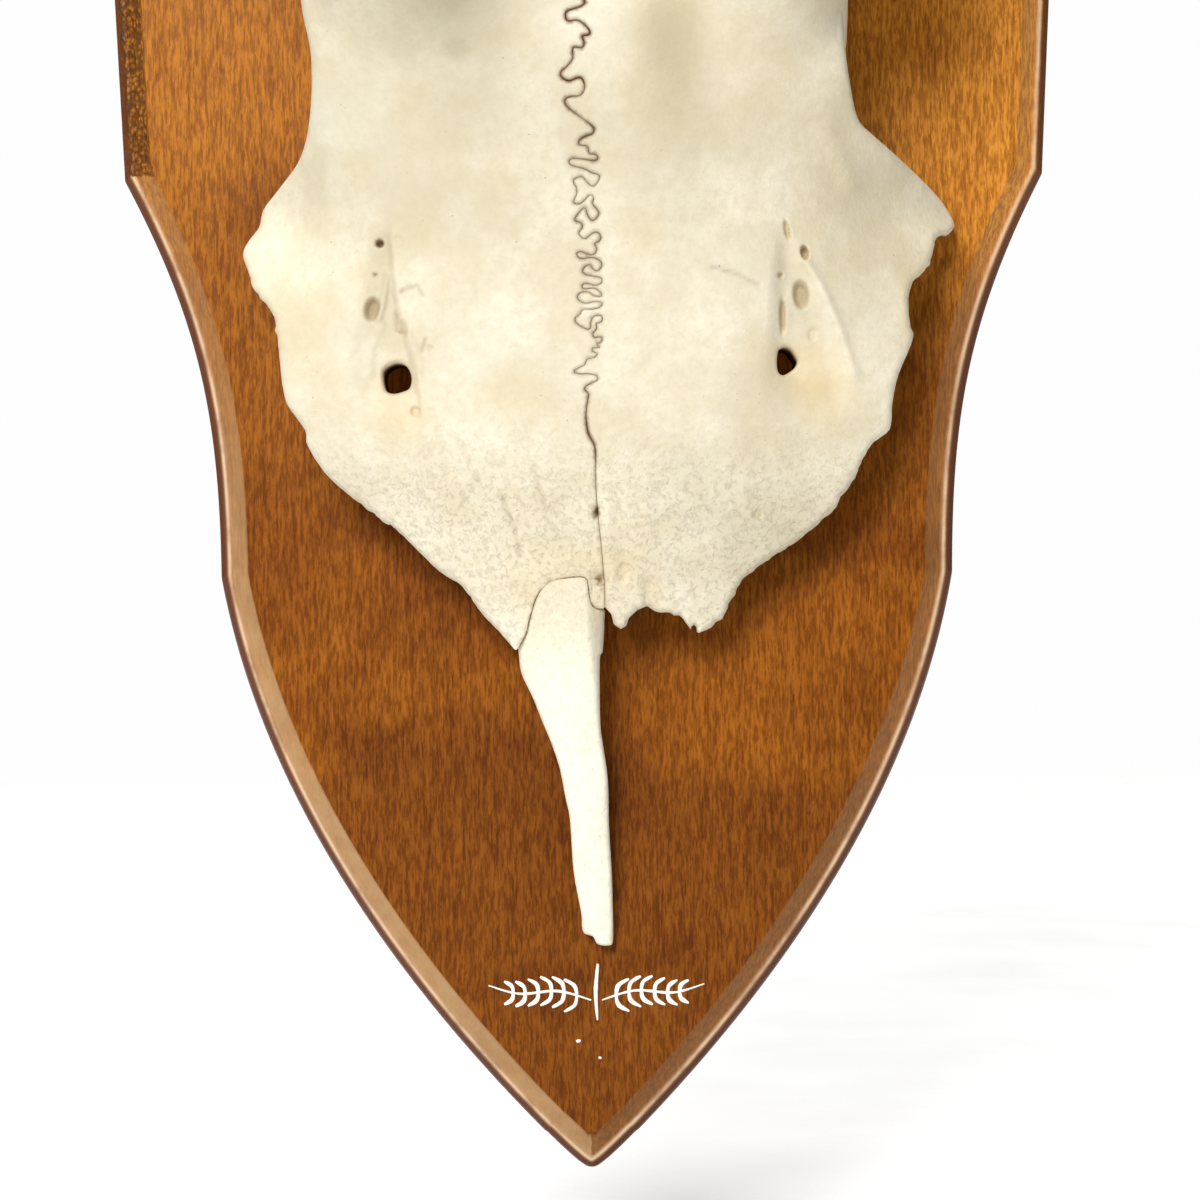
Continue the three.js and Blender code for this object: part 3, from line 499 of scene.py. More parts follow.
# The zigzag seam between the frontal bones as (x, z), from the nose upwards.
SEAM_POINTS = [
    [2.3, -102.6], [2.3, -100.5], [2.1, -97.3], [1.9, -94.8], [1.6, -91.8], [1.4, -89.3], [1.3, -86.8],
    [1.3, -84.4], [1.2, -82.7], [0.5, -81.3], [0.2, -79.8], [0.2, -78.4], [0.4, -77.2], [0.5, -76.3],
    [-0, -75.9], [0.3, -75.4], [0.9, -75.1], [1.7, -74.7], [1.5, -74.2], [0.5, -74], [-0.5, -74],
    [-1.3, -73.7], [-0.7, -73.3], [0.1, -72.9], [0.4, -72.2], [1.2, -72.1], [1.7, -71.6], [1, -71.3],
    [1.1, -70.9], [2, -70.9], [1.5, -70.4], [2.1, -70.3], [2.2, -69.6], [1.3, -69.7], [1.1, -69.2],
    [1.6, -68.6], [1.5, -68], [2.2, -67.8], [2.2, -67.1], [1.3, -67.1], [0.9, -67.7], [0.8, -68.6],
    [0.2, -68.6], [-0.9, -67.9], [-1, -67.3], [-0.4, -66.9], [-0.1, -66.3], [1.1, -66.3], [2.1, -66],
    [2.3, -65.5], [1.3, -65.4], [0.2, -65.6], [-0.7, -65], [-0.5, -64.4], [0.5, -64.2], [1.3, -64.7],
    [2.2, -64.8], [2.1, -64.3], [1.3, -63.8], [0.1, -63.9], [-0.2, -63.5], [0.4, -63.2], [1.4, -63.5],
    [2.2, -63.2], [2.2, -62.6], [1.2, -62.4], [0.4, -62.2], [-0.1, -61.9], [0.2, -61.3], [0.8, -61],
    [1.1, -61.4], [1.6, -61.8], [2.2, -61.4], [2.2, -60.7], [1.2, -60.2], [-0.3, -60.3], [-0.8, -59.7],
    [-0.2, -59.5], [0.9, -59.9], [1.5, -59.7], [1.7, -59], [1.3, -58.6], [2, -58.3], [2.2, -57.7],
    [1.6, -57.2], [0.8, -57.6], [0.4, -58], [-0.2, -57.8], [-0.5, -57.2], [0, -56.7], [-0.2, -56.1],
    [-1, -55.8], [-0.3, -54.8], [0.3, -54.3], [0.6, -55.2], [1.2, -55.9], [2, -55], [1.2, -53.9],
    [1.4, -53.3], [1, -52.8], [0.4, -53.3], [-0.3, -53.9], [-1.1, -53.7], [-0.7, -52.8], [-0.7, -52],
    [-1.1, -51.2], [-0.1, -50.7], [0.6, -51.4], [1.3, -51.9], [1.9, -51.3], [2.1, -50.6], [1.2, -50.3],
    [0.2, -49.8], [-1, -49.5], [-1.6, -49.1], [-1.2, -48.6], [0.1, -48.7], [1.4, -48.9], [1.9, -48.7],
    [1.7, -48.2], [0.8, -48], [0.7, -47.2], [-0.2, -47.1], [-0.4, -46.6], [0.5, -46], [1.2, -45.8],
    [1.5, -45.2], [0.8, -44.5], [-0.7, -43.4], [-1.9, -42.4], [-1.9, -41.7], [-1.2, -41.4], [-0.1, -41.3],
    [0.4, -40.3], [-0.1, -39.2], [-1.4, -39.6], [-2.2, -39.3], [-2.5, -38.6], [-1.7, -37.9], [-1, -37],
    [-1, -35.8], [-0.4, -35.7], [0.1, -35.8], [0.4, -35.2], [0.1, -34.4], [0.8, -34.3], [1.1, -33.9],
    [0.4, -33], [-0.5, -32.5], [-1.6, -32.6], [-1.8, -31.6], [-1, -31.2], [-0, -30.9], [0.5, -30.2],
]


def seam_line():
    """The whole seam between the frontal bones, its unseen upper stretch a plain zigzag."""
    levels = np.arange(-28.9, -4.5, 1.35)
    sides = np.where(np.arange(len(levels)) % 2 == 0, -1, 1)
    wander = blotches(flat_places(0 * levels, levels), 2.1, 61)
    upper = np.stack([-0.4 + sides * (1.1 + 0.6 * wander), levels + 0.5 * wander], axis=1)
    return resampled(rounded([*SEAM_POINTS, *upper, [-0.4, -4.0]], steps=5), 0.2, closed=False)


def coronal_line():
    """The seam across the skull behind the pedicles, from the right to the left."""
    x = np.arange(-33, 33.01, 0.22)
    wander = blotches(flat_places(x, 0 * x), 1.9, 71)
    level = CORONAL_Z + (0.45 + 0.3 * wander) * np.sin(2.2 * x)
    return np.stack([x + 0.4 * np.sin(4.4 * x), level], axis=1)


def shifted_line(line, distance):
    """An open line moved to its right by a distance."""
    ahead = np.gradient(line, axis=0)
    ahead /= np.linalg.norm(ahead, axis=1, keepdims=True) + 1e-9
    return line + distance * np.stack([ahead[:, 1], -ahead[:, 0]], axis=1)


# Pits and dents of the outer face as [x, z, half width, half length, turn, depth].
PITS = [
    [-24.9, -57.8, 0.5, 0.5, 0, 1.5], [-25.5, -61.6, 0.3, 0.3, 0, 0.6],
    [-26.0, -65.7, 0.9, 1.4, -0.25, 1.1], [-22.6, -57.7, 0.7, 0.8, 0, 0.3],
    [-22.1, -68.3, 0.6, 1.1, 0.1, 0.6], [-21.6, -63.6, 0.9, 0.5, 0.5, 0.25],
    [-18.8, -70.7, 0.6, 0.35, -0.7, 0.4], [-20.9, -78.2, 0.6, 0.7, 0.7, 0.5],
    [-17.9, -80.3, 0.35, 0.35, 0, 0.4], [-38.8, -54.2, 0.3, 0.3, 0, 0.4],
    [-39.7, -57.8, 0.5, 0.3, 0.4, 0.35], [-27.8, -58.8, 0.25, 0.25, 0, 0.35],
    [27.1, -59.4, 0.5, 0.9, 0.2, 1.3], [26.7, -64.4, 0.95, 1.7, 0.1, 1.1],
    [24.1, -62.1, 0.35, 0.4, 0, 0.7], [24.4, -67.0, 0.4, 2.1, 0.02, 0.9],
    [24.9, -56.7, 0.35, 1.2, 0.2, 0.8], [28.2, -69.2, 0.6, 0.8, 0, 0.3], [16.5, -31.5, 0.3, 0.3, 0, 0.3],
    [19.1, -31.3, 0.3, 0.3, 0, 0.3], [8.4, -101.2, 1.4, 2.4, 0.3, 0.5], [1.7, -99.2, 0.45, 0.7, 0, 1.2],
    [1.3, -90.8, 0.35, 0.9, 0, 1.5], [4.6, -98.4, 0.8, 1.6, -0.2, 0.35],
    [-14.5, -83.5, 0.3, 1.6, 0.35, 0.4], [-13.2, -86.6, 0.3, 1.2, 0.6, 0.35],
    [-31.2, -90.2, 0.5, 0.8, 0.5, 0.3], [21.5, -91.2, 0.7, 0.6, 0, 0.5],
]
# Shallow lines left by vessels and cracks, as rows of (x, z).
LINES = [
    [[15.6, -61.3], [18.4, -62.0], [21.4, -63.4]],
    [[-23.1, -66.4], [-23.0, -68.4], [-22.2, -68.7]],
    [[-22.3, -63.9], [-20.3, -63.2], [-19.6, -64.4]],
    [[-19.4, -69.6], [-19.8, -71.0]],
    [[-6.5, -84.8], [-5.2, -89.6]],
    [[-10.4, -88.6], [-9.0, -92.2], [-8.2, -96.0]],
]
# The side walls of the hollows over the eyes, by their level.
LEFT_FOSSA_INNER_X = smooth_function([[-80, 23.2], [-70.4, 23.1], [-61.7, 23.5], [-55.7, 24.6]])
LEFT_FOSSA_OUTER_X = smooth_function([
    [-80, 34.5], [-74, 33.2], [-69.5, 31.9], [-67.1, 30.9], [-62.8, 28.8], [-60.3, 27.1], [-57.5, 25.9],
    [-55.5, 25],
])
RIGHT_FOSSA_INNER_X = smooth_function([
    [-82, -19.8], [-75, -20.4], [-70, -21.6], [-64, -22.9], [-56, -23.6],
])
RIGHT_FOSSA_OUTER_X = smooth_function([[-82, -31], [-74, -29.6], [-68, -28.6], [-62, -27.6], [-56, -26.0]])
# Low ridges of the outer face, each with its height and width.
RIDGES = [
    ([[27.1, -60.3], [28.8, -62.8], [30.9, -67.1], [31.9, -69.5], [33.4, -74.0]], 0.45, 0.7),
    ([[-31.4, -30.0], [-31.2, -37.0], [-31.0, -46.5], [-31.8, -54.0]], 0.5, 1.3),
    ([[30.0, -36.0], [29.8, -44.0], [33.0, -50.5]], 0.4, 1.4),
    ([[-24.0, -61.5], [-24.3, -63.4], [-24.7, -65.3], [-25.2, -66.8]], 0.6, 0.45),
    ([[-24.9, -67.6], [-26.3, -70.6], [-26.6, -73.4]], 0.35, 0.7),
    ([[-22.9, -66.0], [-21.4, -69.3], [-20.2, -72.4], [-20.6, -75.6]], 0.3, 0.5),
    ([[-5.0, -98.0], [-3.0, -96.4], [0.0, -97.6]], 0.35, 0.9),
    ([[2.6, -86.0], [2.8, -92.0], [3.2, -97.5]], 0.3, 0.8),
]


def pit_share(x, z, pit):
    """How deep inside a pit a place lies, from 0 outside it to 1 over most of its floor."""
    pit_x, pit_z, half_width, half_length, turn, _ = pit
    cos, sin = math.cos(turn), math.sin(turn)
    across = ((x - pit_x) * cos + (z - pit_z) * sin) / half_width
    along = ((z - pit_z) * cos - (x - pit_x) * sin) / half_length
    return ramp(np.hypot(across, along), 1.25, 0.55)


def left_fossa(x, z):
    """The hollow over the left eye, from its pointed upper end to the hole below."""
    inwards = x - LEFT_FOSSA_INNER_X(z)
    crispness = ramp(z, -75, -68)
    crisp = ramp(inwards, -0.9, 1.6) * crispness + ramp(inwards, -1.5, 4) * (1 - crispness)
    outer = ramp(LEFT_FOSSA_OUTER_X(z) - x, -0.3, 3.2)
    return crisp * outer * ramp(z, -55, -59) * ramp(z, -81, -73)


def right_fossa(x, z):
    """The groove over the right eye, soft on its outer side and crisp on its inner one."""
    inner = ramp(RIGHT_FOSSA_INNER_X(z) - x, -0.4, 0.8)
    outer = ramp(x - RIGHT_FOSSA_OUTER_X(z), -0.5, 3.6)
    return inner * outer * ramp(z, -54, -59) * ramp(z, -83, -74)


def hole_distance(x, z):
    """Distance to the middle of the nearer hole over an eye."""
    return np.min([np.hypot(x - hole[0], z - hole[1]) for hole in HOLE_MIDDLES], axis=0)


def frontal_relief(x, z):
    """Small hollows and swellings of the outer face, added to its height."""
    places = flat_places(x, z)
    low = ramp(z, -70, -95)
    relief = 0.25 * blotches(places, 9, 11) + 0.05 * blotches(places, 2.4, 12, 2)
    relief += low * (0.16 * blotches(places, 3.1, 14, 2) + 0.06 * blotches(places, 0.9, 17))
    relief -= 1.1 * left_fossa(x, z) + 1.3 * right_fossa(x, z) + 0.9 * bell(hole_distance(x, z), 2.9)
    for pit in PITS:
        relief -= pit[5] * pit_share(x, z, pit)
    relief -= 0.3 * bell(line_distance(x, z, LINES), 0.26)
    for line, height, width in RIDGES:
        relief += height * bell(line_distance(x, z, [line]), width)
    ledge = ramp(x, 0.2, 0.7) * ramp(x, 3.0, 2.3) * ramp(z, -97.6, -99.2)
    return relief - ledge * (0.55 + 0.18 * np.sin(9.5 * x))


# How brown the seam is by its level.
SEAM_STRENGTH = smooth_function([
    [-103, 0.05], [-88, 0.1], [-84, 0.75], [-79, 0.65], [-74, 0.42], [-50, 0.5], [-44, 0.8],
])
# Spots of the outer face as [x, z, reach along x, reach along z, amount]: warm stains, and grey-olive ones
# round the pedicle roots that are stain and painted shade from the pedicles and antlers.
WARM_STAINS = [
    [28.9, -75.5, 4.2, 4.6, 0.7], [12, -34.5, 4.5, 7, 0.45], [3, -95, 5, 5, 0.3], [-4, -103, 5, 5, 0.25],
    [-22.5, -79.5, 3.5, 3.5, 0.3],
]
GREYISH_STAINS_AND_PAINTED_SHADE = [
    [10.5, -36, 4, 7.5, 0.5], [-13, -30, 6, 6, 0.35], [-13.8, -40, 7, 9, 0.28],
    [-15, -35.5, 1.6, 1.2, 0.35],
]


def stain(x, z, spots):
    """The sum of some soft oval spots."""
    return sum(
        amount * bell(np.hypot((x - spot_x) / reach_x, (z - spot_z) / reach_z), 1)
        for spot_x, spot_z, reach_x, reach_z, amount in spots
    )


def stain_and_painted_shade_in_pits(x, z, start, slope, most):
    """Stain and painted shade in the pits, stronger in the deeper ones."""
    amounts = [min(most, max(0.0, slope * (pit[-1] - start))) * pit_share(x, z, pit) for pit in PITS]
    return np.array(amounts)


def brown_marks(x, z, height):
    """Amounts of brown in the seams, lines and pits, with painted shade in the pits and down the walls of
    the holes.
    """
    places = flat_places(x, z)
    wander = 0.5 + 0.5 * blotches(places, 1.7, 31)
    seam = bell(line_distance(x, z, [seam_line()]), 0.15 + 0.12 * wander)
    brown = seam * SEAM_STRENGTH(z) * (0.35 + 1.1 * wander)
    brown = np.maximum(brown, 0.4 * bell(line_distance(x, z, [coronal_line()]), 0.25))
    brown = np.maximum(brown, stain_and_painted_shade_in_pits(x, z, 0.4, 0.45, 0.7).max(axis=0))
    brown = np.maximum(brown, 0.25 * bell(line_distance(x, z, LINES), 0.2))
    brown *= ramp(frontal_top(x, z) - height, 6, 3)
    # Painted shade: the walls inside the holes over the eyes are painted dark brown.
    below = frontal_top(x, z) + frontal_relief(x, z) - height
    return np.maximum(brown, ramp(below, 0.8, 2.0) * ramp(hole_distance(x, z), 2.6, 2.1))


def bone_marks(corners):
    """Amounts of brown for the seams and pits with painted shade in the pits and holes, warm stain,
    grey-olive stain with painted shade, and porousness on the skull.
    """
    x, z = corners[:, 0], corners[:, 2]
    places = flat_places(x, z)
    # The pits' share of warm colour is stain and painted shade, stronger in the deeper pits.
    warm = stain(x, z, WARM_STAINS) + stain_and_painted_shade_in_pits(x, z, 0.3, 1.0, 0.6).sum(axis=0)
    warm += 0.25 * ramp(z, -34, -22) + 0.18 * ramp(blotches(places, 7, 33), 0.1, 0.7)
    warm += 0.25 * bell(np.abs(x - 40) + np.abs(z + 60), 9) + 0.35 * bell(hole_distance(x, z), 2.6)
    # Grey-olive over the upper bone and round the pedicle roots: stain and painted shade under the antlers.
    greyish_stain_and_painted_shade = stain(x, z, GREYISH_STAINS_AND_PAINTED_SHADE) + (0.14 + 0.15 * ramp(x, 2, -12)) * ramp(z, -66, -40)
    # Painted shade in the hollows over the eyes.
    greyish_stain_and_painted_shade += (0.25 * left_fossa(x, z) + 0.35 * right_fossa(x, z)) * ramp(z, -72, -66)
    greyish_stain_and_painted_shade += 0.22 * ramp(blotches(places, 11, 35), 0, 0.8)
    brown = brown_marks(x, z, -corners[:, 1] - WOOD_FRONT)
    porous = 0.15 + 0.85 * ramp(z, -74, -94)
    return np.clip(np.stack([brown, warm, greyish_stain_and_painted_shade, porous], axis=1), 0, 1)


def frontal_outline(side, seam):
    """The outline of a frontal bone, before its free edges are made ragged."""
    inner = shifted_line(seam, side * SEAM_GAP / 2)
    rear = coronal_line()
    if side < 0:
        inner = inner[inner[:, 1] > RIGHT_SEAM_END_Z]
        across = rear[(rear[:, 0] < inner[-1, 0] - 0.3) & (rear[:, 0] > CORONAL_RIGHT_X)][::-1]
        return np.vstack([inner, across, rounded(RIGHT_RIM, steps=5), rounded(NASAL_MARGIN, steps=5)])
    across = rear[(rear[:, 0] > inner[-1, 0] + 0.3) & (rear[:, 0] < CORONAL_LEFT_X)]
    return np.vstack([inner, across, rounded(LEFT_RIM, steps=5), LEFT_BROKEN_END])


def rounded_edge(distance, radius):
    """How far a plate's face drops towards its rim, and how far in from the rim each place is."""
    near = np.clip(distance / radius, 0, 1)
    return radius * (1 - np.sqrt(1 - (1 - near) ** 2)), near


def frontal_bone(side):
    """A frontal bone without its pedicle, the right one for a side of -1."""
    seam = seam_line()
    outline = resampled(frontal_outline(side, seam), 0.3)
    free = (ramp(distance_to(seam, outline), 1.2, 2.2) * ramp(outline[:, 1], -52, -56))[:, None]
    outline = free * ragged(outline, 0.3, 1.3, 21 + side) + (1 - free) * outline
    hole = resampled(rounded(FORAMINA[side], closed=True), 0.18)
    places, triangles, distance = net([outline, hole], 0.42, [FOSSA_PATCHES[side]])
    x, z = places.T
    jointed = (distance_to(seam, places) < 1.2) | (line_distance(x, z, [NASAL_MARGIN]) < 1.2)
    radius = np.where(jointed, 0.15, np.where(hole_distance(x, z) < 3.2, 0.5, 0.9))
    drop, near = rounded_edge(distance, radius)
    height = frontal_top(x, z) + frontal_relief(x, z) - drop
    thickness = 2.2 + 0.8 * near + 9.0 * bell(hole_distance(x, z), 3.2)
    under = np.maximum(0.35, (height - thickness) * ramp(z, -42, -53))
    return closed_plate(places, triangles, height, under)


# The free edge of the nasal bone as (x, z), from its inner root round its tip to its outer root.
NASAL_EDGE = [
    [2.3, -103.2], [2.0, -108.1], [1.6, -109.3], [1.6, -117.2], [1.9, -120.0], [2.5, -124.7],
    [2.6, -130.7], [2.9, -136.7], [3.0, -141.1], [3.0, -145.6], [2.5, -146.3], [1.0, -146.1],
    [0.4, -145.1], [-0.7, -144.7], [-1.0, -143.7], [-1.1, -141.9], [-2.0, -136.6], [-2.4, -129.8],
    [-2.9, -127.2], [-3.6, -123.3], [-4.6, -120.1], [-5.8, -117.1], [-7.0, -114.0], [-8.4, -111.0],
    [-8.7, -108.7],
]
# The nasal bone's ridge and its fall to both sides, by level.
NASAL_RIDGE_X = smooth_function([[-146, 1.6], [-130, 1], [-122, 1.3], [-114, 0.8], [-106, 0.2], [-98, 0]])
NASAL_RIDGE_HEIGHT = smooth_function([
    [-146, 2.7], [-137, 4.4], [-127, 6.6], [-122, 8], [-114, 10.6], [-109, 12], [-103, 13.2], [-98, 14.4],
])
NASAL_OUTER_DROP = smooth_function([
    [-146, 0.8], [-137, 1.2], [-122, 2.6], [-114, 3.6], [-107, 4.4], [-98, 3],
])
NASAL_INNER_DROP = smooth_function([
    [-146, 0.4], [-130, 0.6], [-122, 0.9], [-116, 1.7], [-108, 2.1], [-98, 1.6],
])


def nasal_bone():
    """The right nasal bone, a thin ridged blade."""
    margin = shifted_line(rounded(NASAL_MARGIN, steps=5), 0.8 * SEAM_GAP)
    outline = np.vstack([margin, rounded(NASAL_EDGE, steps=4)])
    places, triangles, distance = net([resampled(outline, 0.25)], 0.3)
    x, z = places.T
    beside = x - NASAL_RIDGE_X(z)
    outer = NASAL_OUTER_DROP(z) * (beside / 9) ** 2
    inner = NASAL_INNER_DROP(z) * np.abs(beside / 1.8) ** 1.3
    fall = np.where(beside < 0, outer, inner)
    height = NASAL_RIDGE_HEIGHT(z) - np.minimum(fall, NASAL_RIDGE_HEIGHT(z) - 2)
    height += 0.05 * blotches(flat_places(x, z), 2.5, 41, 2)
    radius = np.where(line_distance(x, z, [NASAL_MARGIN]) < 0.8, 0.15, 0.55)
    drop, near = rounded_edge(distance, radius)
    height -= drop
    return closed_plate(places, triangles, height, np.maximum(0.8, height - 1.0 - 0.5 * near))


def braincase():
    """The vaulted rear of the skull cap, from the coronal seam to the crest at the nape."""
    rings = []
    rear = coronal_line()
    angles = np.linspace(0, math.pi, 181)
    for stop in np.linspace(0, len(DOME_STOPS) - 1, 110):
        x = float(DOME_HALF_WIDTH(stop)) * np.sign(np.cos(angles)) * np.abs(np.cos(angles)) ** 0.8
        height = 0.35 + (float(DOME_TOP(stop)) - 0.35) * np.sin(angles) ** 0.8
        z = np.full_like(x, float(DOME_Z(stop)))
        seam_z = np.interp(x, rear[:, 0], rear[:, 1]) + SEAM_GAP
        z += ramp(stop, 1.2, 0) * (seam_z - float(DOME_Z(0)))
        rings.append(skull_place(x, height, z))
    return tube(rings)


def closed_plate(places, triangles, top, under):
    """A closed body between an upper and a lower height over the same net."""
    x, z = places.T
    count = len(places)
    corners = np.vstack([skull_place(x, top, z), skull_place(x, under, z)])
    a, b = open_edges(triangles).T
    walls = np.vstack([np.stack([b, a, a + count], 1), np.stack([b, a + count, b + count], 1)])
    faces = np.vstack([triangles, triangles[:, ::-1] + count, walls])
    used = np.unique(faces)
    renumber = np.full(len(corners), -1)
    renumber[used] = np.arange(len(used))
    return corners[used], renumber[faces]


def softened_root(mesh, axis):
    """Rounds the crease where a pedicle rises from its frontal bone."""
    corners = corners_of(mesh)
    tree = search_tree(axis[:, :3])
    near = [tree.find(corner) for corner in corners]
    off_limb = np.array([distance - axis[index, 3] for _, index, distance in near])
    off_plate = -corners[:, 1] - WOOD_FRONT - frontal_top(corners[:, 0], corners[:, 2])
    off_rim = rim_reach(corners[:, 0], corners[:, 2]) - np.abs(corners[:, 0])
    relaxed(mesh, 0.9 * bell(off_limb, 3.4) * bell(off_plate, 3.4) * ramp(off_rim, 0.5, 3.0), 70)


# Each limb of an antler from its root to its tip, as stops of [out, height, z, radius].
BEAM_STOPS = [
    [20.5, 17, -31, 12.5], [22, 29.5, -19.6, 10.6], [23.3, 36, -13.7, 9.7], [24.3, 40, -9.8, 10.4],
    [27, 51.5, 3, 10.2], [31.2, 70, 28, 9.3], [36, 87, 60, 8.8], [39.2, 93, 82, 8.1],
    [41.6, 91.5, 107, 7], [42.4, 89.5, 127, 6.5], [41.2, 93, 148, 5], [38.6, 98, 168, 3.6],
    [35.6, 101, 186, 0.9],
]
FRONT_TINE_STOPS = [
    [37.8, 88, 66, 6.2], [37.3, 91, 72, 6.6], [37, 101, 79.5, 5.7], [36.6, 111.5, 90, 4.4],
    [36.6, 118, 101, 2.9], [37, 121, 112, 0.8],
]
REAR_TINE_STOPS = [
    [42.2, 91, 115, 5.2], [42.6, 89, 121, 5.6], [43.4, 80.5, 130, 4.7], [44.4, 71.5, 140, 3.5],
    [45, 64.5, 150, 2.3], [45, 61.5, 158, 0.7],
]
LIMB_STEP = 0.8
# The stop of the beam where its coronet begins.
CORONET_STOP = 3
# The coronet as [distance along the beam, radius].
CORONET_PROFILE = [[0, 12.2], [1.2, 14.6], [2.6, 16], [4.2, 16.2], [6, 15], [7.8, 12.6], [9.5, 9.5]]
# Half the gap between the pedicle and the antler.
HALF_GAP = 0.15
BEAD_COUNT = 230
# The rows of beads round the coronet as (rise along the beam, reach from its middle, number of beads).
CORONET_BEADS = [(2.4, 15.6, 23), (5.0, 15.4, 21), (7.4, 13.2, 17)]
GOLDEN_ANGLE = 2.39996


def limb_line(stops, side):
    """Evenly spaced centres and radii of a limb."""
    stops = np.array(stops, float)
    centres = skull_place(side * stops[:, 0], stops[:, 1], stops[:, 2])
    line = rounded(np.hstack([centres, stops[:, 3:]]), steps=16)
    return resampled(line, LIMB_STEP, closed=False)


def frame_round(heading):
    """Two directions across each heading and across each other."""
    across = np.cross([1.0, 0, 0], heading)
    across /= np.linalg.norm(across, axis=-1, keepdims=True)
    return across, np.cross(heading, across)


def headings(line):
    """The direction of a limb at each of its stops."""
    heading = np.gradient(line[:, :3], axis=0)
    return heading / np.linalg.norm(heading, axis=1, keepdims=True)


def limb_rings(line, sides, fluting=0.0):
    """Rings round a limb, with five shallow flutes."""
    centres, radii = line[:, :3], line[:, 3]
    across, sideways = frame_round(headings(line))
    angles = full_turn(sides)
    reach = radii[:, None] * (1 + fluting * np.cos(5 * angles))
    return (
        centres[:, None]
        + across[:, None] * (reach * np.cos(angles))[..., None]
        + sideways[:, None] * (reach * np.sin(angles))[..., None]
    )


def merged_mesh(name, bodies):
    """One mesh of several closed bodies."""
    corners, faces, start = [], [], 0
    for body_corners, body_faces in bodies:
        corners.append(body_corners)
        faces.extend(tuple(index + start for index in face) for face in body_faces)
        start += len(body_corners)
    mesh = bpy.data.meshes.new(name)
    mesh.from_pydata((np.vstack(corners) * MM).tolist(), [], faces)
    mesh.update()
    return outward(mesh)


def coronet_rings(base, heading):
    """Rings of the knobbed collar at the antler's root."""
    across, sideways = frame_round(heading)
    angles = full_turn(66)
    rings = []
    for along, radius in CORONET_PROFILE:
        knobbed = radius * (1 + 0.06 * np.cos(11 * angles + along) * min(1, radius / 16))
        ring = np.outer(knobbed * np.cos(angles), across) + np.outer(knobbed * np.sin(angles), sideways)
        rings.append(base + heading * (along + HALF_GAP) + ring)
    return np.array(rings)


def beam_halves(side):
    """The lines of the pedicle and of the beam above it, with where and how the beam sets off."""
    stops = np.array(BEAM_STOPS, float)
    out, height, z, _ = stops[CORONET_STOP]
    base = np.array([side * out, -(WOOD_FRONT + height), z])
    line = limb_line(BEAM_STOPS, side)
    nearest = int(np.argmin(np.linalg.norm(line[:, :3] - base, axis=1)))
    heading = line[nearest + 1, :3] - line[nearest - 1, :3]
    heading /= np.linalg.norm(heading)
    below, above = line[: nearest + 1].copy(), line[nearest:].copy()
    below[-1, :3] = base - heading * HALF_GAP
    above[0, :3] = base + heading * HALF_GAP
    return below, above, base, heading


def beads(side, above, base, heading):
    """Places and sizes of the beads on the lower beam and round the coronet."""
    across, sideways = frame_round(headings(above))
    lengths = np.arange(len(above)) * LIMB_STEP
    result = []
    for bead in range(BEAD_COUNT):
        draw = lattice_value(np.array([[bead, 3, 5], [bead, 7, 1], [bead, 11, 2]]), 91 + side) * 0.5 + 0.5
        along = 11 + 92 * (bead / BEAD_COUNT) ** 1.25 + 3 * draw[0]
        angle = bead * GOLDEN_ANGLE + 0.7 * draw[1]
        step = int(np.searchsorted(lengths, along))
        spoke = across[step] * math.cos(angle) + sideways[step] * math.sin(angle)
        on_outside = side * spoke[0] > 0.35
        if on_outside and bead % 3:
            continue
        radius = (1.0 + 1.1 * draw[2]) * (1 - 0.45 * along / 105)
        result.append([*(above[step, :3] + spoke * above[step, 3]), radius, 0.62 * radius])
    for row, (rise, reach, count) in enumerate(CORONET_BEADS):
        for bead in range(count):
            draw = lattice_value(np.array([[bead, row, 5], [bead, row, 9]]), 97 + side)
            angle = 2 * math.pi * (bead + 0.5 * row + 0.25 * draw[0]) / count
            spoke = across[0] * math.cos(angle) + sideways[0] * math.sin(angle)
            radius = 2.0 + 0.5 * draw[1]
            result.append([*(base + heading * rise + spoke * reach), radius, 0.75 + 0.35 * draw[1]])
    return result


def bead_heights(corners, spots):
    """How far the beads stand out at each corner."""
    raised = np.zeros(len(corners))
    tree = search_tree(corners)
    for x, y, z, radius, height in spots:
        reach = 1.25 * radius
        for _, index, distance in tree.find_range((x, y, z), reach):
            raised[index] = max(raised[index], height * (1 - (distance / reach) ** 2) ** 1.4)
    return raised


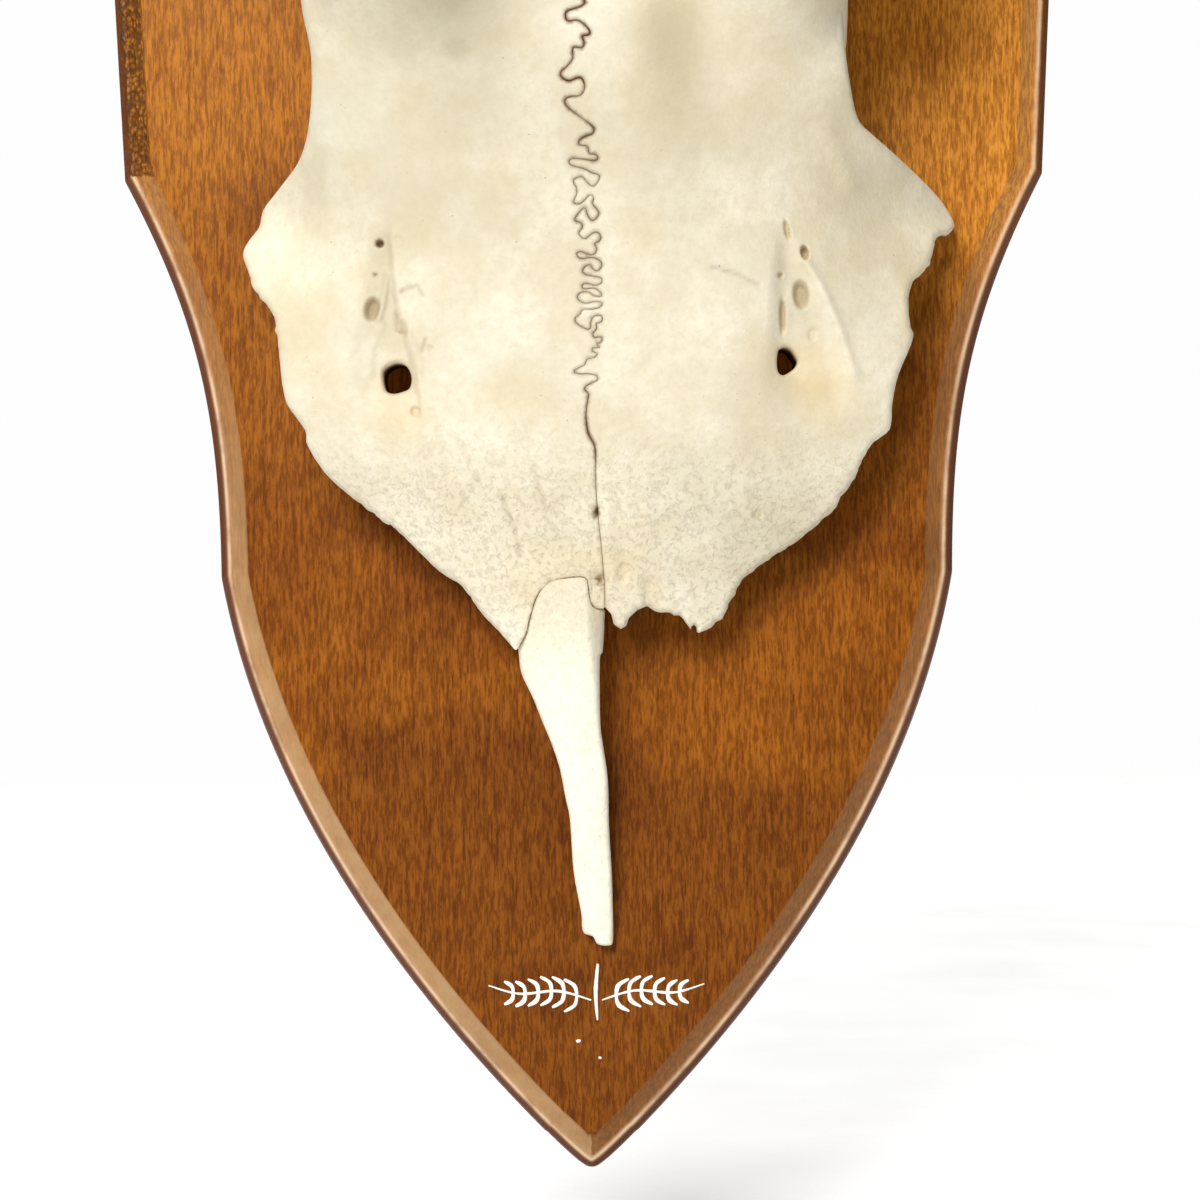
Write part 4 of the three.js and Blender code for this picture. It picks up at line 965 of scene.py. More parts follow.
def antler_surface(side):
    """One antler with its coronet, beads, furrows and smooth tips, and its colour marks."""
    _, above, base, heading = beam_halves(side)
    limbs = [above, limb_line(FRONT_TINE_STOPS, side), limb_line(REAR_TINE_STOPS, side)]
    bodies = [tube(limb_rings(limb, 48, fluting)) for limb, fluting in zip(limbs, (0.03, 0, 0))]
    bodies.append(tube(coronet_rings(base, heading)))
    mesh = remeshed(merged_mesh("antler", bodies), 0.48)
    relaxed(mesh, np.full(len(mesh.vertices), 0.6), 6)
    corners = corners_of(mesh)
    axis = np.vstack(limbs)
    along = np.concatenate([np.arange(len(limb)) * LIMB_STEP for limb in limbs])
    starts = (0, 0.45, 0.5)
    tip_share = np.concatenate([np.linspace(start, 1, len(limb)) for limb, start in zip(limbs, starts)])
    across, sideways = frame_round(np.vstack([headings(limb) for limb in limbs]))
    tree = search_tree(axis[:, :3])
    near = np.array([tree.find(corner)[1] for corner in corners])
    offset = corners - axis[near, :3]
    across_share = (offset * across[near]).sum(axis=1)
    sideways_share = (offset * sideways[near]).sum(axis=1)
    stretched = np.stack([across_share, sideways_share, along[near] * 0.11], axis=1)
    share = tip_share[near]
    calm = ramp(share, 0.97, 0.35)
    furrows = blotches(stretched, 2.0, 51 + side) + 0.6 * blotches(stretched, 0.95, 53 + side)
    rough = blotches(corners, 1.3, 55 + side, 2)
    past_base = (corners - base) @ heading
    collar = bell(past_base - 4, 5.5)
    push = calm * (0.32 * furrows * (1 - collar) + 0.1 * rough) + collar * 0.5 * rough
    raised = bead_heights(corners, beads(side, above, base, heading))
    out = (push + raised) * ramp(past_base, 0.25, 1.4)
    set_corners(mesh, corners + normals_of(mesh) * out[:, None])
    pale = np.clip(ramp(share, 0.82, 1.0) + 0.45 * ramp(raised, 0.25, 0.9) * (share < 0.6), 0, 1)
    groove = np.clip(ramp(furrows, 0.1, -0.9) * calm * (1 - 0.8 * ramp(raised, 0.05, 0.3)), 0, 1)
    marks(mesh, np.stack([pale, groove, ramp(share, 0.4, 0.0), raised], axis=1))
    return mesh


# Materials


class Finish:
    """A Principled material and the nodes that feed it, all in the object's own coordinates."""

    def __init__(self, name):
        self.material = bpy.data.materials.new(name)
        self.material.use_nodes = True
        self.nodes = self.material.node_tree.nodes
        self.shader = self.nodes["Principled BSDF"]
        self.places = self.nodes.new("ShaderNodeTexCoord").outputs["Object"]

    def link(self, value, socket):
        if hasattr(value, "is_linked"):
            self.material.node_tree.links.new(value, socket)
        else:
            socket.default_value = value

    def stretched(self, scale, turn=(0, 0, 0)):
        """Turned and scaled coordinates, in which noise comes out drawn out."""
        node = self.nodes.new("ShaderNodeMapping")
        node.inputs["Scale"].default_value = scale
        node.inputs["Rotation"].default_value = turn
        self.link(self.places, node.inputs["Vector"])
        return node.outputs["Vector"]

    def noise(self, size, detail=3.0, roughness=0.55, distortion=0.0, vector=None):
        """Noise from 0 to 1 with blotches of a size in millimetres."""
        node = self.nodes.new("ShaderNodeTexNoise")
        node.inputs["Scale"].default_value = 1 / (size * MM)
        node.inputs["Detail"].default_value = detail
        node.inputs["Roughness"].default_value = roughness
        node.inputs["Distortion"].default_value = distortion
        self.link(self.places if vector is None else vector, node.inputs["Vector"])
        return node.outputs["Fac"]

    def cells(self, size):
        """Distance to the middle of the nearest of some cells of a size in millimetres."""
        node = self.nodes.new("ShaderNodeTexVoronoi")
        node.inputs["Scale"].default_value = 1 / (size * MM)
        self.link(self.places, node.inputs["Vector"])
        return node.outputs["Distance"]

    def coordinate(self, axis):
        """A coordinate in metres."""
        node = self.nodes.new("ShaderNodeSeparateXYZ")
        self.link(self.places, node.inputs["Vector"])
        return node.outputs[axis]

    def math(self, operation, a, b=0.0):
        node = self.nodes.new("ShaderNodeMath")
        node.operation = operation
        self.link(a, node.inputs[0])
        self.link(b, node.inputs[1])
        return node.outputs[0]

    def span(self, value, low, high, to_low=0.0, to_high=1.0):
        """A value carried smoothly from one span of numbers to another."""
        node = self.nodes.new("ShaderNodeMapRange")
        node.interpolation_type = "SMOOTHSTEP"
        self.link(value, node.inputs["Value"])
        node.inputs["From Min"].default_value = low
        node.inputs["From Max"].default_value = high
        node.inputs["To Min"].default_value = to_low
        node.inputs["To Max"].default_value = to_high
        return node.outputs["Result"]

    def blend(self, share, a, b, kind="MIX"):
        """Colour a with a share of colour b."""
        node = self.nodes.new("ShaderNodeMix")
        node.data_type = "RGBA"
        node.blend_type = kind
        for value, name in ((share, "Factor_Float"), (a, "A_Color"), (b, "B_Color")):
            socket = next(socket for socket in node.inputs if socket.identifier == name)
            self.link((*value, 1) if isinstance(value, tuple) else value, socket)
        return next(socket for socket in node.outputs if socket.identifier == "Result_Color")

    def marks(self):
        """The four amounts stored at the corners of a mesh."""
        attribute = self.nodes.new("ShaderNodeAttribute")
        attribute.attribute_name = "marks"
        parts = self.nodes.new("ShaderNodeSeparateColor")
        self.link(attribute.outputs["Color"], parts.inputs["Color"])
        return (*parts.outputs, attribute.outputs["Alpha"])

    def bump(self, *layers):
        """Stacked bumps, each a height from 0 to 1 with its depth in millimetres."""
        normal = None
        for height, depth in layers:
            node = self.nodes.new("ShaderNodeBump")
            node.inputs["Distance"].default_value = depth * MM
            self.link(height, node.inputs["Height"])
            if normal is not None:
                self.link(normal, node.inputs["Normal"])
            normal = node.outputs["Normal"]
        self.link(normal, self.shader.inputs["Normal"])

    def done(self, colour, roughness, metallic=0.0):
        self.link((*colour, 1) if isinstance(colour, tuple) else colour, self.shader.inputs["Base Color"])
        self.link(roughness, self.shader.inputs["Roughness"])
        self.shader.inputs["Metallic"].default_value = metallic
        return self.material


def bone_finish():
    f = Finish("bone")
    brown, warm, greyish_stain_and_painted_shade, porous = f.marks()
    cloud = f.noise(9, 4, 0.6)
    grain = f.noise(1.1, 4, 0.65)
    colour = f.blend(f.span(cloud, 0.35, 0.68), (0.62, 0.55, 0.395), (0.71, 0.655, 0.515))
    colour = f.blend(f.span(grain, 0.38, 0.7, 0, 0.45), colour, (0.56, 0.485, 0.335))
    colour = f.blend(f.span(f.noise(22, 2), 0.5, 0.72, 0, 0.35), colour, (0.69, 0.68, 0.585))
    # Paler towards the nose, partly the bone's own tone and partly painted light, set against the painted
    # shade of the upper bone.
    colour = f.blend(f.span(f.coordinate("Z"), -0.098, -0.114, 0, 0.8), colour, (0.84, 0.805, 0.67))
    colour = f.blend(f.math("MULTIPLY", warm, 0.75), colour, (0.58, 0.42, 0.19))
    # Grey-olive stain and painted shade.
    colour = f.blend(f.math("MULTIPLY", greyish_stain_and_painted_shade, 0.8), colour, (0.34, 0.30, 0.19))
    cracks = f.span(f.noise(0.75, 5, 0.75, 0.4), 0.5, 0.66)
    crackle = f.math("MULTIPLY", cracks, f.span(porous, 0, 1, 0.1, 1))
    colour = f.blend(f.math("MULTIPLY", crackle, 0.07), colour, (0.40, 0.33, 0.21))
    specks = f.math("MULTIPLY", f.span(f.noise(0.6, 2, 0.6), 0.71, 0.76), f.span(f.noise(6, 2), 0.5, 0.62))
    colour = f.blend(f.math("MULTIPLY", specks, 0.6), colour, (0.14, 0.10, 0.06))
    # Brown of the seams and lines, with painted shade in the pits and down the holes.
    colour = f.blend(brown, colour, (0.130, 0.052, 0.012))
    rough = f.span(f.noise(3, 4), 0.3, 0.7, 0.52, 0.74)
    f.bump((f.noise(0.55, 4, 0.7), 0.06), (f.math("SUBTRACT", 1.0, crackle), 0.05), (f.noise(2.3, 3), 0.12))
    f.shader.inputs["Specular IOR Level"].default_value = 0.32
    return f.done(colour, rough)


def antler_finish():
    f = Finish("antler")
    pale, groove, base_dark, _ = f.marks()
    streaks = f.noise(1.4, 4, 0.65, vector=f.stretched((1, 1, 0.16)))
    colour = f.blend(f.span(streaks, 0.35, 0.68), (0.085, 0.042, 0.019), (0.215, 0.118, 0.056))
    colour = f.blend(f.span(f.noise(11, 3), 0.42, 0.66, 0, 0.5), colour, (0.26, 0.16, 0.085))
    colour = f.blend(f.math("MULTIPLY", base_dark, 0.45), colour, (0.07, 0.036, 0.018))
    colour = f.blend(f.math("MULTIPLY", groove, 0.75), colour, (0.030, 0.014, 0.007))
    colour = f.blend(f.math("MULTIPLY", f.span(pale, 0.05, 0.9), 0.92), colour, (0.60, 0.46, 0.29))
    rough = f.span(f.noise(1.7, 4), 0.3, 0.7, 0.42, 0.68)
    rough = f.math("SUBTRACT", rough, f.math("MULTIPLY", pale, 0.16))
    f.bump((f.noise(0.45, 4, 0.7), 0.06), (streaks, 0.12), (f.noise(2.0, 3), 0.1))
    return f.done(colour, rough)


def wood_finish():
    f = Finish("wood")
    painted_rim_highlight, side, painted_gloss_in_hollow, rustic = f.marks()
    fibres = f.noise(0.62, 5, 0.7, vector=f.stretched((1, 1, 0.05)))
    flecks = f.noise(0.33, 3, 0.65, vector=f.stretched((1, 1, 0.18)))
    figure = f.noise(38, 3, 0.5, 0.8, vector=f.stretched((1, 1, 1.6), (0, 0.6, 0)))
    wander = f.math("MULTIPLY", f.math("SUBTRACT", f.noise(26, 3), 0.5), 0.05)
    level = f.math("ADD", f.coordinate("Z"), wander)
    colour = f.blend(f.noise(9, 3), (0.240, 0.072, 0.0040), (0.340, 0.108, 0.0070))
    # Painted light: the wood darkens towards the tip and lightens towards the top, as the lamp falls off
    # downwards.
    colour = f.blend(f.span(level, -0.117, -0.127, 0, 0.5), colour, (0.135, 0.036, 0.0025))
    colour = f.blend(f.span(level, -0.085, -0.03, 0, 0.75), colour, (0.460, 0.168, 0.0130))
    # Painted light lifts the wood at the upper right out of the skull's shadow.
    painted_light_at_upper_right = f.math("MULTIPLY", f.span(level, -0.07, -0.045), f.span(f.coordinate("X"), 0.015, 0.045))
    colour = f.blend(f.math("MULTIPLY", painted_light_at_upper_right, 0.85), colour, (0.68, 0.270, 0.0330))
    colour = f.blend(f.span(figure, 0.50, 0.64, 0, 0.8), colour, (0.72, 0.64, 0.50), "MULTIPLY")
    colour = f.blend(f.span(fibres, 0.44, 0.68, 0, 0.9), colour, (0.64, 0.56, 0.44), "MULTIPLY")
    colour = f.blend(f.span(flecks, 0.64, 0.36), colour, (0.55, 0.47, 0.36), "MULTIPLY")
    # Painted shade on the shield's side faces.
    colour = f.blend(f.math("MULTIPLY", side, 0.9), colour, (0.090, 0.024, 0.0070))
    # Painted reflection in the hollow of the moulding.
    patchy_painted_gloss = f.math("MULTIPLY", painted_gloss_in_hollow, f.span(f.noise(4, 4), 0.3, 0.7, 0.75, 1))
    colour = f.blend(patchy_painted_gloss, colour, (0.47, 0.30, 0.145))
    # Painted highlight along the rounded lip, in patches.
    edge_share = f.math("MULTIPLY", painted_rim_highlight, f.span(f.noise(5, 4), 0.3, 0.6, 0.45, 0.95))
    colour = f.blend(edge_share, colour, (0.66, 0.46, 0.29))
    knobs = f.cells(0.75)
    between_knobs = f.math("MULTIPLY", rustic, f.span(knobs, 0.25, 0.65, 0.2, 0.8))
    colour = f.blend(between_knobs, colour, (0.070, 0.026, 0.0080))
    on_knobs = f.math("MULTIPLY", rustic, f.span(knobs, 0.24, 0.05, 0, 0.45))
    colour = f.blend(on_knobs, colour, (0.46, 0.26, 0.110))
    rough = f.math("ADD", f.span(flecks, 0.3, 0.75, 0.34, 0.50), f.math("MULTIPLY", rustic, 0.15))
    f.shader.inputs["Specular IOR Level"].default_value = 0.08
    hammered = f.math("MULTIPLY", rustic, f.math("SUBTRACT", 1.0, knobs))
    f.bump((fibres, 0.05), (flecks, 0.05), (hammered, 0.5), (f.noise(6, 2), 0.08))
    return f.done(colour, rough)


def metal_finish(name, light, dark, low, high):
    """A stained and scratched metal whose roughness lies between the low and the high value."""
    f = Finish(name)
    stain = f.noise(2.4, 4, 0.65)
    scratches = f.noise(0.35, 3, 0.6, vector=f.stretched((1, 1, 0.08), (0, 0.4, 0)))
    colour = f.blend(f.span(stain, 0.4, 0.68), light, dark)
    f.bump((scratches, 0.02), (f.noise(0.8, 3), 0.03))
    return f.done(colour, f.span(stain, 0.3, 0.7, low, high), 1.0)


def paint_finish():
    f = Finish("paint")
    colour = f.blend(f.span(f.noise(0.8, 3), 0.35, 0.7), (0.86, 0.84, 0.80), (0.72, 0.66, 0.58))
    f.bump((f.noise(0.4, 3), 0.04))
    return f.done(colour, f.span(f.noise(1.5, 2), 0.3, 0.7, 0.4, 0.6))


def floor_finish():
    f = Finish("floor")
    colour = f.blend(f.noise(60, 3), (0.90, 0.905, 0.90), (0.93, 0.935, 0.93))
    colour = f.blend(f.span(f.coordinate("Y"), -0.02, -0.4), colour, (0.30, 0.30, 0.30))
    f.bump((f.noise(4, 3), 0.15))
    return f.done(colour, f.span(f.noise(30, 2), 0.3, 0.7, 0.6, 0.75))


BONE = bone_finish()
ANTLER = antler_finish()
WOOD = wood_finish()
STEEL = metal_finish("steel", (0.56, 0.57, 0.58), (0.40, 0.40, 0.39), 0.28, 0.5)
BRASS = metal_finish("brass", (0.62, 0.45, 0.18), (0.40, 0.27, 0.10), 0.3, 0.55)
PAINT = paint_finish()


# The shield

# One half of the shield's outline from the tip upwards, each curve as its ends and handles.
OUTLINE_CURVES = [
    [(0, -177.3), (19.3, -159.0), (42.2, -131.6), (48.0, -98.4)],
    [(48.0, -98.4), (48.2, -77.9), (50.3, -65.4), (60.2, -46.4)],
    [(60.2, -46.4), (61.0, -29.9), (61.8, -13.5), (62.6, 3)],
    [(62.6, 3), (55.6, 6), (47.5, 13), (44, 22)],
    [(44, 22), (36, 35), (16, 44), (0, 44)],
]
TIP_BLUNTING = 1.2
# The edge seen in section, from the back to the front: [inset from the outline, depth from the back].
BOARD_EDGE = [
    [0.35, 0], [0.15, 1.5], [0, 4], [0, 7], [0.15, 9.2], [0.45, 10.3], [0.85, 10.9], [1.15, 11.25],
    [1.35, 11.45], [1.5, 11.54], [1.7, 11.56], [1.9, 11.5], [2.1, 11.53], [2.4, 11.7], [2.9, 12.05],
    [3.4, 12.45], [3.8, 12.8], [4.0, 12.97], [4.15, 13.0],
]


def bezier(a, b, c, d):
    """Places along a curve from a to d, its last one left out."""
    t = np.linspace(0, 1, 60, endpoint=False)[:, None]
    a, b, c, d = map(np.array, (a, b, c, d))
    return (1 - t) ** 3 * a + 3 * (1 - t) ** 2 * t * b + 3 * (1 - t) * t**2 * c + t**3 * d


def board_outline():
    """The shield's outline, all the way round from its blunted tip."""
    top = OUTLINE_CURVES[-1][-1]
    half = np.vstack([*[bezier(*curve) for curve in OUTLINE_CURVES], [top]])
    half = resampled(half, 0.55, closed=False)
    near_tip = (half[:, 0] < 6) & (half[:, 1] < -150)
    half[near_tip, 1] += np.hypot(half[near_tip, 0], TIP_BLUNTING) - half[near_tip, 0]
    mirrored = half[-2:0:-1] * [-1, 1]
    return np.vstack([half, mirrored])


def inset(outline, distance):
    """The outline moved inwards, with its points kept in step."""
    ahead = np.roll(outline, -1, axis=0) - outline
    ahead /= np.linalg.norm(ahead, axis=1, keepdims=True)
    behind = np.roll(ahead, 1, axis=0)
    inwards = np.stack([-(ahead + behind)[:, 1], (ahead + behind)[:, 0]], axis=1)
    inwards /= np.linalg.norm(inwards, axis=1, keepdims=True)
    lean = (inwards * np.stack([-behind[:, 1], behind[:, 0]], axis=1)).sum(axis=1)
    moved = outline + inwards * (distance / np.maximum(0.5, lean))[:, None]
    crossed = outline_distance(moved, outline) < distance * 0.985 - 0.02
    clear = ~np.any([np.roll(crossed, shift) for shift in range(-2, 3)], axis=0)
    steps = np.arange(len(moved))
    for axis in range(2):
        moved[:, axis] = np.interp(steps, steps[clear], moved[clear, axis], period=len(moved))
    return moved


def outline_distance(places, outline):
    """Distance from places on the plan to the outline."""
    return distance_to(resampled(outline, 0.14), places)


# The stretch of the upper left edge that is punched all over.
RUSTIC_FROM_Z, RUSTIC_TO_Z = -46.0, 1.0


def board_rings(outline):
    """The shield's edge as rings from back to front, with punched pits along its upper sides."""
    rings = []
    for distance, depth in BOARD_EDGE:
        ring = inset(outline, distance)
        corners = np.stack([ring[:, 0], np.full(len(ring), -depth), ring[:, 1]], axis=1)
        edge_share = ramp(distance, 0.1, 0.5) * ramp(distance, 4.1, 3.6) * (depth > 7)
        edge_share = edge_share * ramp(ring[:, 1], RUSTIC_FROM_Z, RUSTIC_FROM_Z + 1.2)
        edge_share *= ramp(ring[:, 1], RUSTIC_TO_Z, RUSTIC_TO_Z - 1.5) * np.where(ring[:, 0] < 0, 0.8, 0.15)
        pits = ramp(blotches(corners, 1.25, 81), -0.25, 0.45)
        dent = edge_share * (0.55 * pits + 0.15 * np.abs(blotches(corners, 0.7, 83)))
        corners[:, 1] += dent
        corners[:, 0] -= np.sign(ring[:, 0]) * dent * 0.5 * ramp(distance, 3.0, 1.0)
        rings.append(corners)
    return rings


def flat_net(ring, depth, spacing):
    """A face of the shield in the plane y = -depth, inside a ring."""
    places, triangles, _ = net([ring], spacing)
    return np.stack([places[:, 0], np.full(len(places), -depth), places[:, 1]], axis=1), triangles


def board_mesh():
    """The shield with its recess for the hanging plate and its screw holes."""
    outline = board_outline()
    corners, faces = tube(board_rings(outline))
    front, front_triangles = flat_net(inset(outline, BOARD_EDGE[-1][0]), WOOD_FRONT, 3)
    back, back_triangles = flat_net(inset(outline, BOARD_EDGE[0][0]), 0.0, 5)
    faces = faces[:-2]
    faces += (front_triangles + len(corners)).tolist()
    faces += (back_triangles[:, ::-1] + len(corners) + len(front)).tolist()
    mesh = bpy.data.meshes.new("board")
    mesh.from_pydata((np.vstack([corners, front, back]) * MM).tolist(), [], faces)
    reworked(mesh, lambda shell: bmesh.ops.remove_doubles(shell, verts=shell.verts, dist=2e-6))
    outward(mesh)
    cuts = [
        lathe(EYE_RECESS, 0, HANGER_Z, 48),
        block(*HANGER_RECESS, 0, 0, HANGER_Z),
        *[screw_cut(SKULL_SCREW, side * SKULL_SCREW_X, SKULL_SCREW_Z, SUNK) for side in (-1, 1)],
        *[screw_cut(HANGER_SCREW, 0, HANGER_Z + end * HANGER_SCREW_OFF, SUNK) for end in (-1, 1)],
    ]
    for body in cuts:
        mesh = combined(mesh, merged_mesh("cut", [body]), "DIFFERENCE")
    return mesh


def board_marks(mesh):
    """Amounts of painted highlight on the lip, painted shade on the side, painted reflection in the hollow
    of the moulding, and punched pits on the shield.
    """
    corners = corners_of(mesh)
    distance = outline_distance(corners[:, [0, 2]], board_outline())
    x, z = corners[:, 0], corners[:, 2]
    punched = (x < 0) & (z > RUSTIC_FROM_Z) & (z < RUSTIC_TO_Z)
    # Painted highlight along the rounded lip.
    painted_rim_highlight = bell(distance - 1.55, 0.26) * ramp(-corners[:, 1], 10.8, 11.3) * np.where(punched, 0.2, 1)
    # Painted shade on the side faces of the edge.
    side = ramp(distance, 1.45, 1.2)
    # Painted reflection in the hollow of the moulding, stronger on the lit left side and towards the tip.
    painted_gloss_strength = np.where(x < 0, 0.25 + 0.45 * ramp(z, -60, -120), 0.2)
    painted_gloss_in_hollow = ramp(distance, 1.75, 1.95) * ramp(distance, 4.1, 3.95) * painted_gloss_strength * ~punched
    rustic = ramp(distance, 4.14, 3.9) * ramp(distance, 0.9, 1.3) * punched
    marks(mesh, np.stack([painted_rim_highlight, side, painted_gloss_in_hollow, rustic], axis=1))


# Metalwork on the back

# The middle of the hanging plate, and how far its screws stand above and below it.
HANGER_Z = 22.0
HANGER_SCREW_OFF = 9.4
# Where the plate's rounded corners have their middles.
HANGER_CORNER = (4.3, 10.8)
HANGER_CORNER_RADIUS = 2.2
# The plate's recess in the wood, as width, depth and length, and that of its eye.
HANGER_RECESS = (13.6, 2.9, 26.6)
EYE_RECESS = [[0, 6.0], [5.5, 6.0], [5.5, -1]]
EYE = [[0, 4], [3.6, 4], [3.6, -1]]
SKULL_SCREW_X, SKULL_SCREW_Z = 11.0, -24.0
# How deep the screws' heads lie below the back.
SUNK = 0.25
# Each screw from its point to the rim of its head, as [radius, depth].
SKULL_SCREW = [[0, 26], [0.4, 26], [1.6, 23], [1.75, 22], [1.75, 3.0], [3.5, 0.35], [3.7, 0.1], [3.7, 0]]
HANGER_SCREW = [[0, 10], [0.3, 10], [1.0, 8], [1.1, 7], [1.1, 1.6], [2.1, 0.3], [2.3, 0.1], [2.3, 0]]


def lathe(profile, x, z, sides):
    """A body turned round an axis along y, from [radius, depth] pairs that begin on the axis."""
    angles = full_turn(sides)
    rings = []
    for radius, depth in profile:
        reach = max(radius, 1e-3)
        ring = [x + reach * np.cos(angles), np.full(sides, -depth), z + reach * np.sin(angles)]
        rings.append(np.stack(ring, axis=1))
    return tube(rings)


def block(width, depth, length, x, y, z):
    """A box round (x, y, z)."""
    ring = np.array([[-1, -1], [1, -1], [1, 1], [-1, 1]]) * [width / 2, length / 2]
    return tube([
        np.stack([x + ring[:, 0], np.full(4, y + level), z + ring[:, 1]], axis=1)
        for level in (depth / 2, -depth / 2)
    ])


def screw_cut(profile, x, z, play):
    """The hole for a screw, wider than it by some play and open at the back."""
    grown = []
    for index, (radius, depth) in enumerate(profile):
        grown.append([radius + play * (radius > 0.1), depth + SUNK + play * (index < 2)])
    grown.append([profile[-1][0] + play, -1.0])
    return lathe(grown, x, z, 40)


def threaded(profile, x, z, turn):
    """A countersunk screw with a thread on its shank and a cross recess in its head."""
    fine = resampled(profile, 0.22, closed=False)
    shank = (fine[:, 1] > profile[5][1]) & (fine[:, 1] < profile[1][1] - 1.0)
    fine[:, 0] += np.where(shank, 0.16 * np.sin(fine[:, 1] * 2 * math.pi / 1.3) - 0.16, 0)
    fine[:, 1] += SUNK
    mesh = merged_mesh("screw", [lathe(fine, x, z, 36)])
    head = profile[-1][0]
    for angle in (turn, turn + math.pi / 2):
        corners, faces = block(0.26 * head, 2.0, 1.15 * head, 0, -SUNK + 0.1, 0)
        cos, sin = math.cos(angle), math.sin(angle)
        turned = corners @ np.array([[cos, 0, sin], [0, 1, 0], [-sin, 0, cos]]) + [x, 0, z]
        mesh = combined(mesh, merged_mesh("recess", [(turned, faces)]), "DIFFERENCE")
    return mesh


def hanger_mesh():
    """The hanging plate, with eased edges, rounded corners, a round eye and two screw holes."""
    corner_angles = np.linspace(0, math.pi / 2, 9)
    quarter = np.stack([np.cos(corner_angles), np.sin(corner_angles)], axis=1) * HANGER_CORNER_RADIUS
    out, up = HANGER_CORNER
    outline = np.vstack([
        quarter + [out, up], (quarter @ np.array([[0, 1], [-1, 0]])) + [-out, up],
        -quarter + [-out, -up], (quarter @ np.array([[0, -1], [1, 0]])) + [out, -up],
    ])
    rings = []
    for distance, depth in [(0.2, 0.25), (0.0, 0.4), (0.0, 1.1), (0.2, 1.25)]:
        ring = outline * (1 - distance / 8)
        rings.append(np.stack([ring[:, 0], np.full(len(ring), -depth), HANGER_Z + ring[:, 1]], axis=1))
    mesh = merged_mesh("hanger", [tube(rings)])
    holes = [lathe(EYE, 0, HANGER_Z, 48)]
    holes += [screw_cut(HANGER_SCREW, 0, HANGER_Z + end * HANGER_SCREW_OFF, 0.12) for end in (-1, 1)]
    for hole in holes:
        mesh = combined(mesh, merged_mesh("hole", [hole]), "DIFFERENCE")
    return mesh


# The painted sprig

PAINT_RISE = 0.1
SPRIG_X = 0.8
BUD = [[1.0, -148.9], [0.7, -152.6], [0.9, -156.2]]
# The stem of one twig, as (distance out from the bud, level).
STEM = [(0.7, -153.6), (5, -152.4), (10, -152.7), (14, -151.6)]
LEAVES_ON_TWIG = 6
# Two specks of paint below the sprig, each with its width.
SPECKS = [
    ([[-1.9, -158.9], [-1.6, -158.9], [-1.3, -158.8]], 0.45),
    ([[1.0, -161.0], [1.2, -161.1], [1.4, -161.1]], 0.35),
]


def brush_stroke(points, width):
    """A thin tapering stroke of paint on the wood."""
    line = resampled(rounded(points, steps=8), 0.25, closed=False)
    ahead = np.gradient(line, axis=0)
    ahead /= np.linalg.norm(ahead, axis=1, keepdims=True)
    side = np.stack([-ahead[:, 1], ahead[:, 0]], axis=1)
    share = np.linspace(0, 1, len(line))
    half = width / 2 * (0.35 + 0.65 * np.sin(math.pi * np.clip(share * 0.9 + 0.08, 0, 1)) ** 0.6)
    half *= 1 + 0.18 * blotches(flat_places(line[:, 0], line[:, 1]), 0.8, 87)
    angles = full_turn(12)
    rings = []
    for centre, across, reach in zip(line, side, half):
        x = centre[0] + across[0] * reach * np.cos(angles)
        z = centre[1] + across[1] * reach * np.cos(angles)
        rings.append(np.stack([x, -WOOD_FRONT - PAINT_RISE * np.sin(angles), z], axis=1))
    return tube(rings)


def sprig():
    """Two leafy twigs that part from a small bud, as a plain painted ornament, and two specks."""
    strokes = [(BUD, 0.5)]
    for side in (-1, 1):
        stem = rounded([[SPRIG_X + side * out, level] for out, level in STEM], steps=6)
        strokes.append((stem, 0.34))
        for leaf in range(LEAVES_ON_TWIG):
            root = stem[3 + leaf * 2]
            for upward in (-1, 1):
                reach = 2.1 - 0.12 * leaf
                tip = root + [side * 0.8 * reach, upward * reach]
                middle = root + [side * 0.15 * reach, upward * 0.6 * reach]
                strokes.append(([root, middle, tip], 0.55))
    return [brush_stroke(points, width) for points, width in [*strokes, *SPECKS]]


# The trophy

shield = board_mesh()
board_marks(shield)
new_piece("shield", shield, WOOD, "wood", "board")
new_piece("painted_sprig", merged_mesh("sprig", sprig()), PAINT, "wood")

ANTLER_NODES = ("beam_lower", "beam_upper", "front_tine", "rear_tine", "top_tine")
for side, name in ((-1, "right"), (1, "left")):
    plate = outward(new_mesh("frontal", *frontal_bone(side)))
    pedicle = beam_halves(side)[0]
    bone = combined(plate, merged_mesh("pedicle", [tube(limb_rings(pedicle, 110))]), "UNION")
    softened_root(bone, pedicle)
    marks(bone, bone_marks(corners_of(bone)))
    new_piece(f"frontal_bone_{name}", bone, BONE, "bone", f"frontal_{name}")
    antler_nodes = [f"antler_{name}_{part}" for part in ANTLER_NODES]
    new_piece(f"antler_{name}", antler_surface(side), ANTLER, "antler", *antler_nodes)
    screw = threaded(SKULL_SCREW, side * SKULL_SCREW_X, SKULL_SCREW_Z, 0.5 + side * 0.3)
    new_piece(f"screw_{name}", screw, STEEL, "steel", f"skull_screw_{name}")

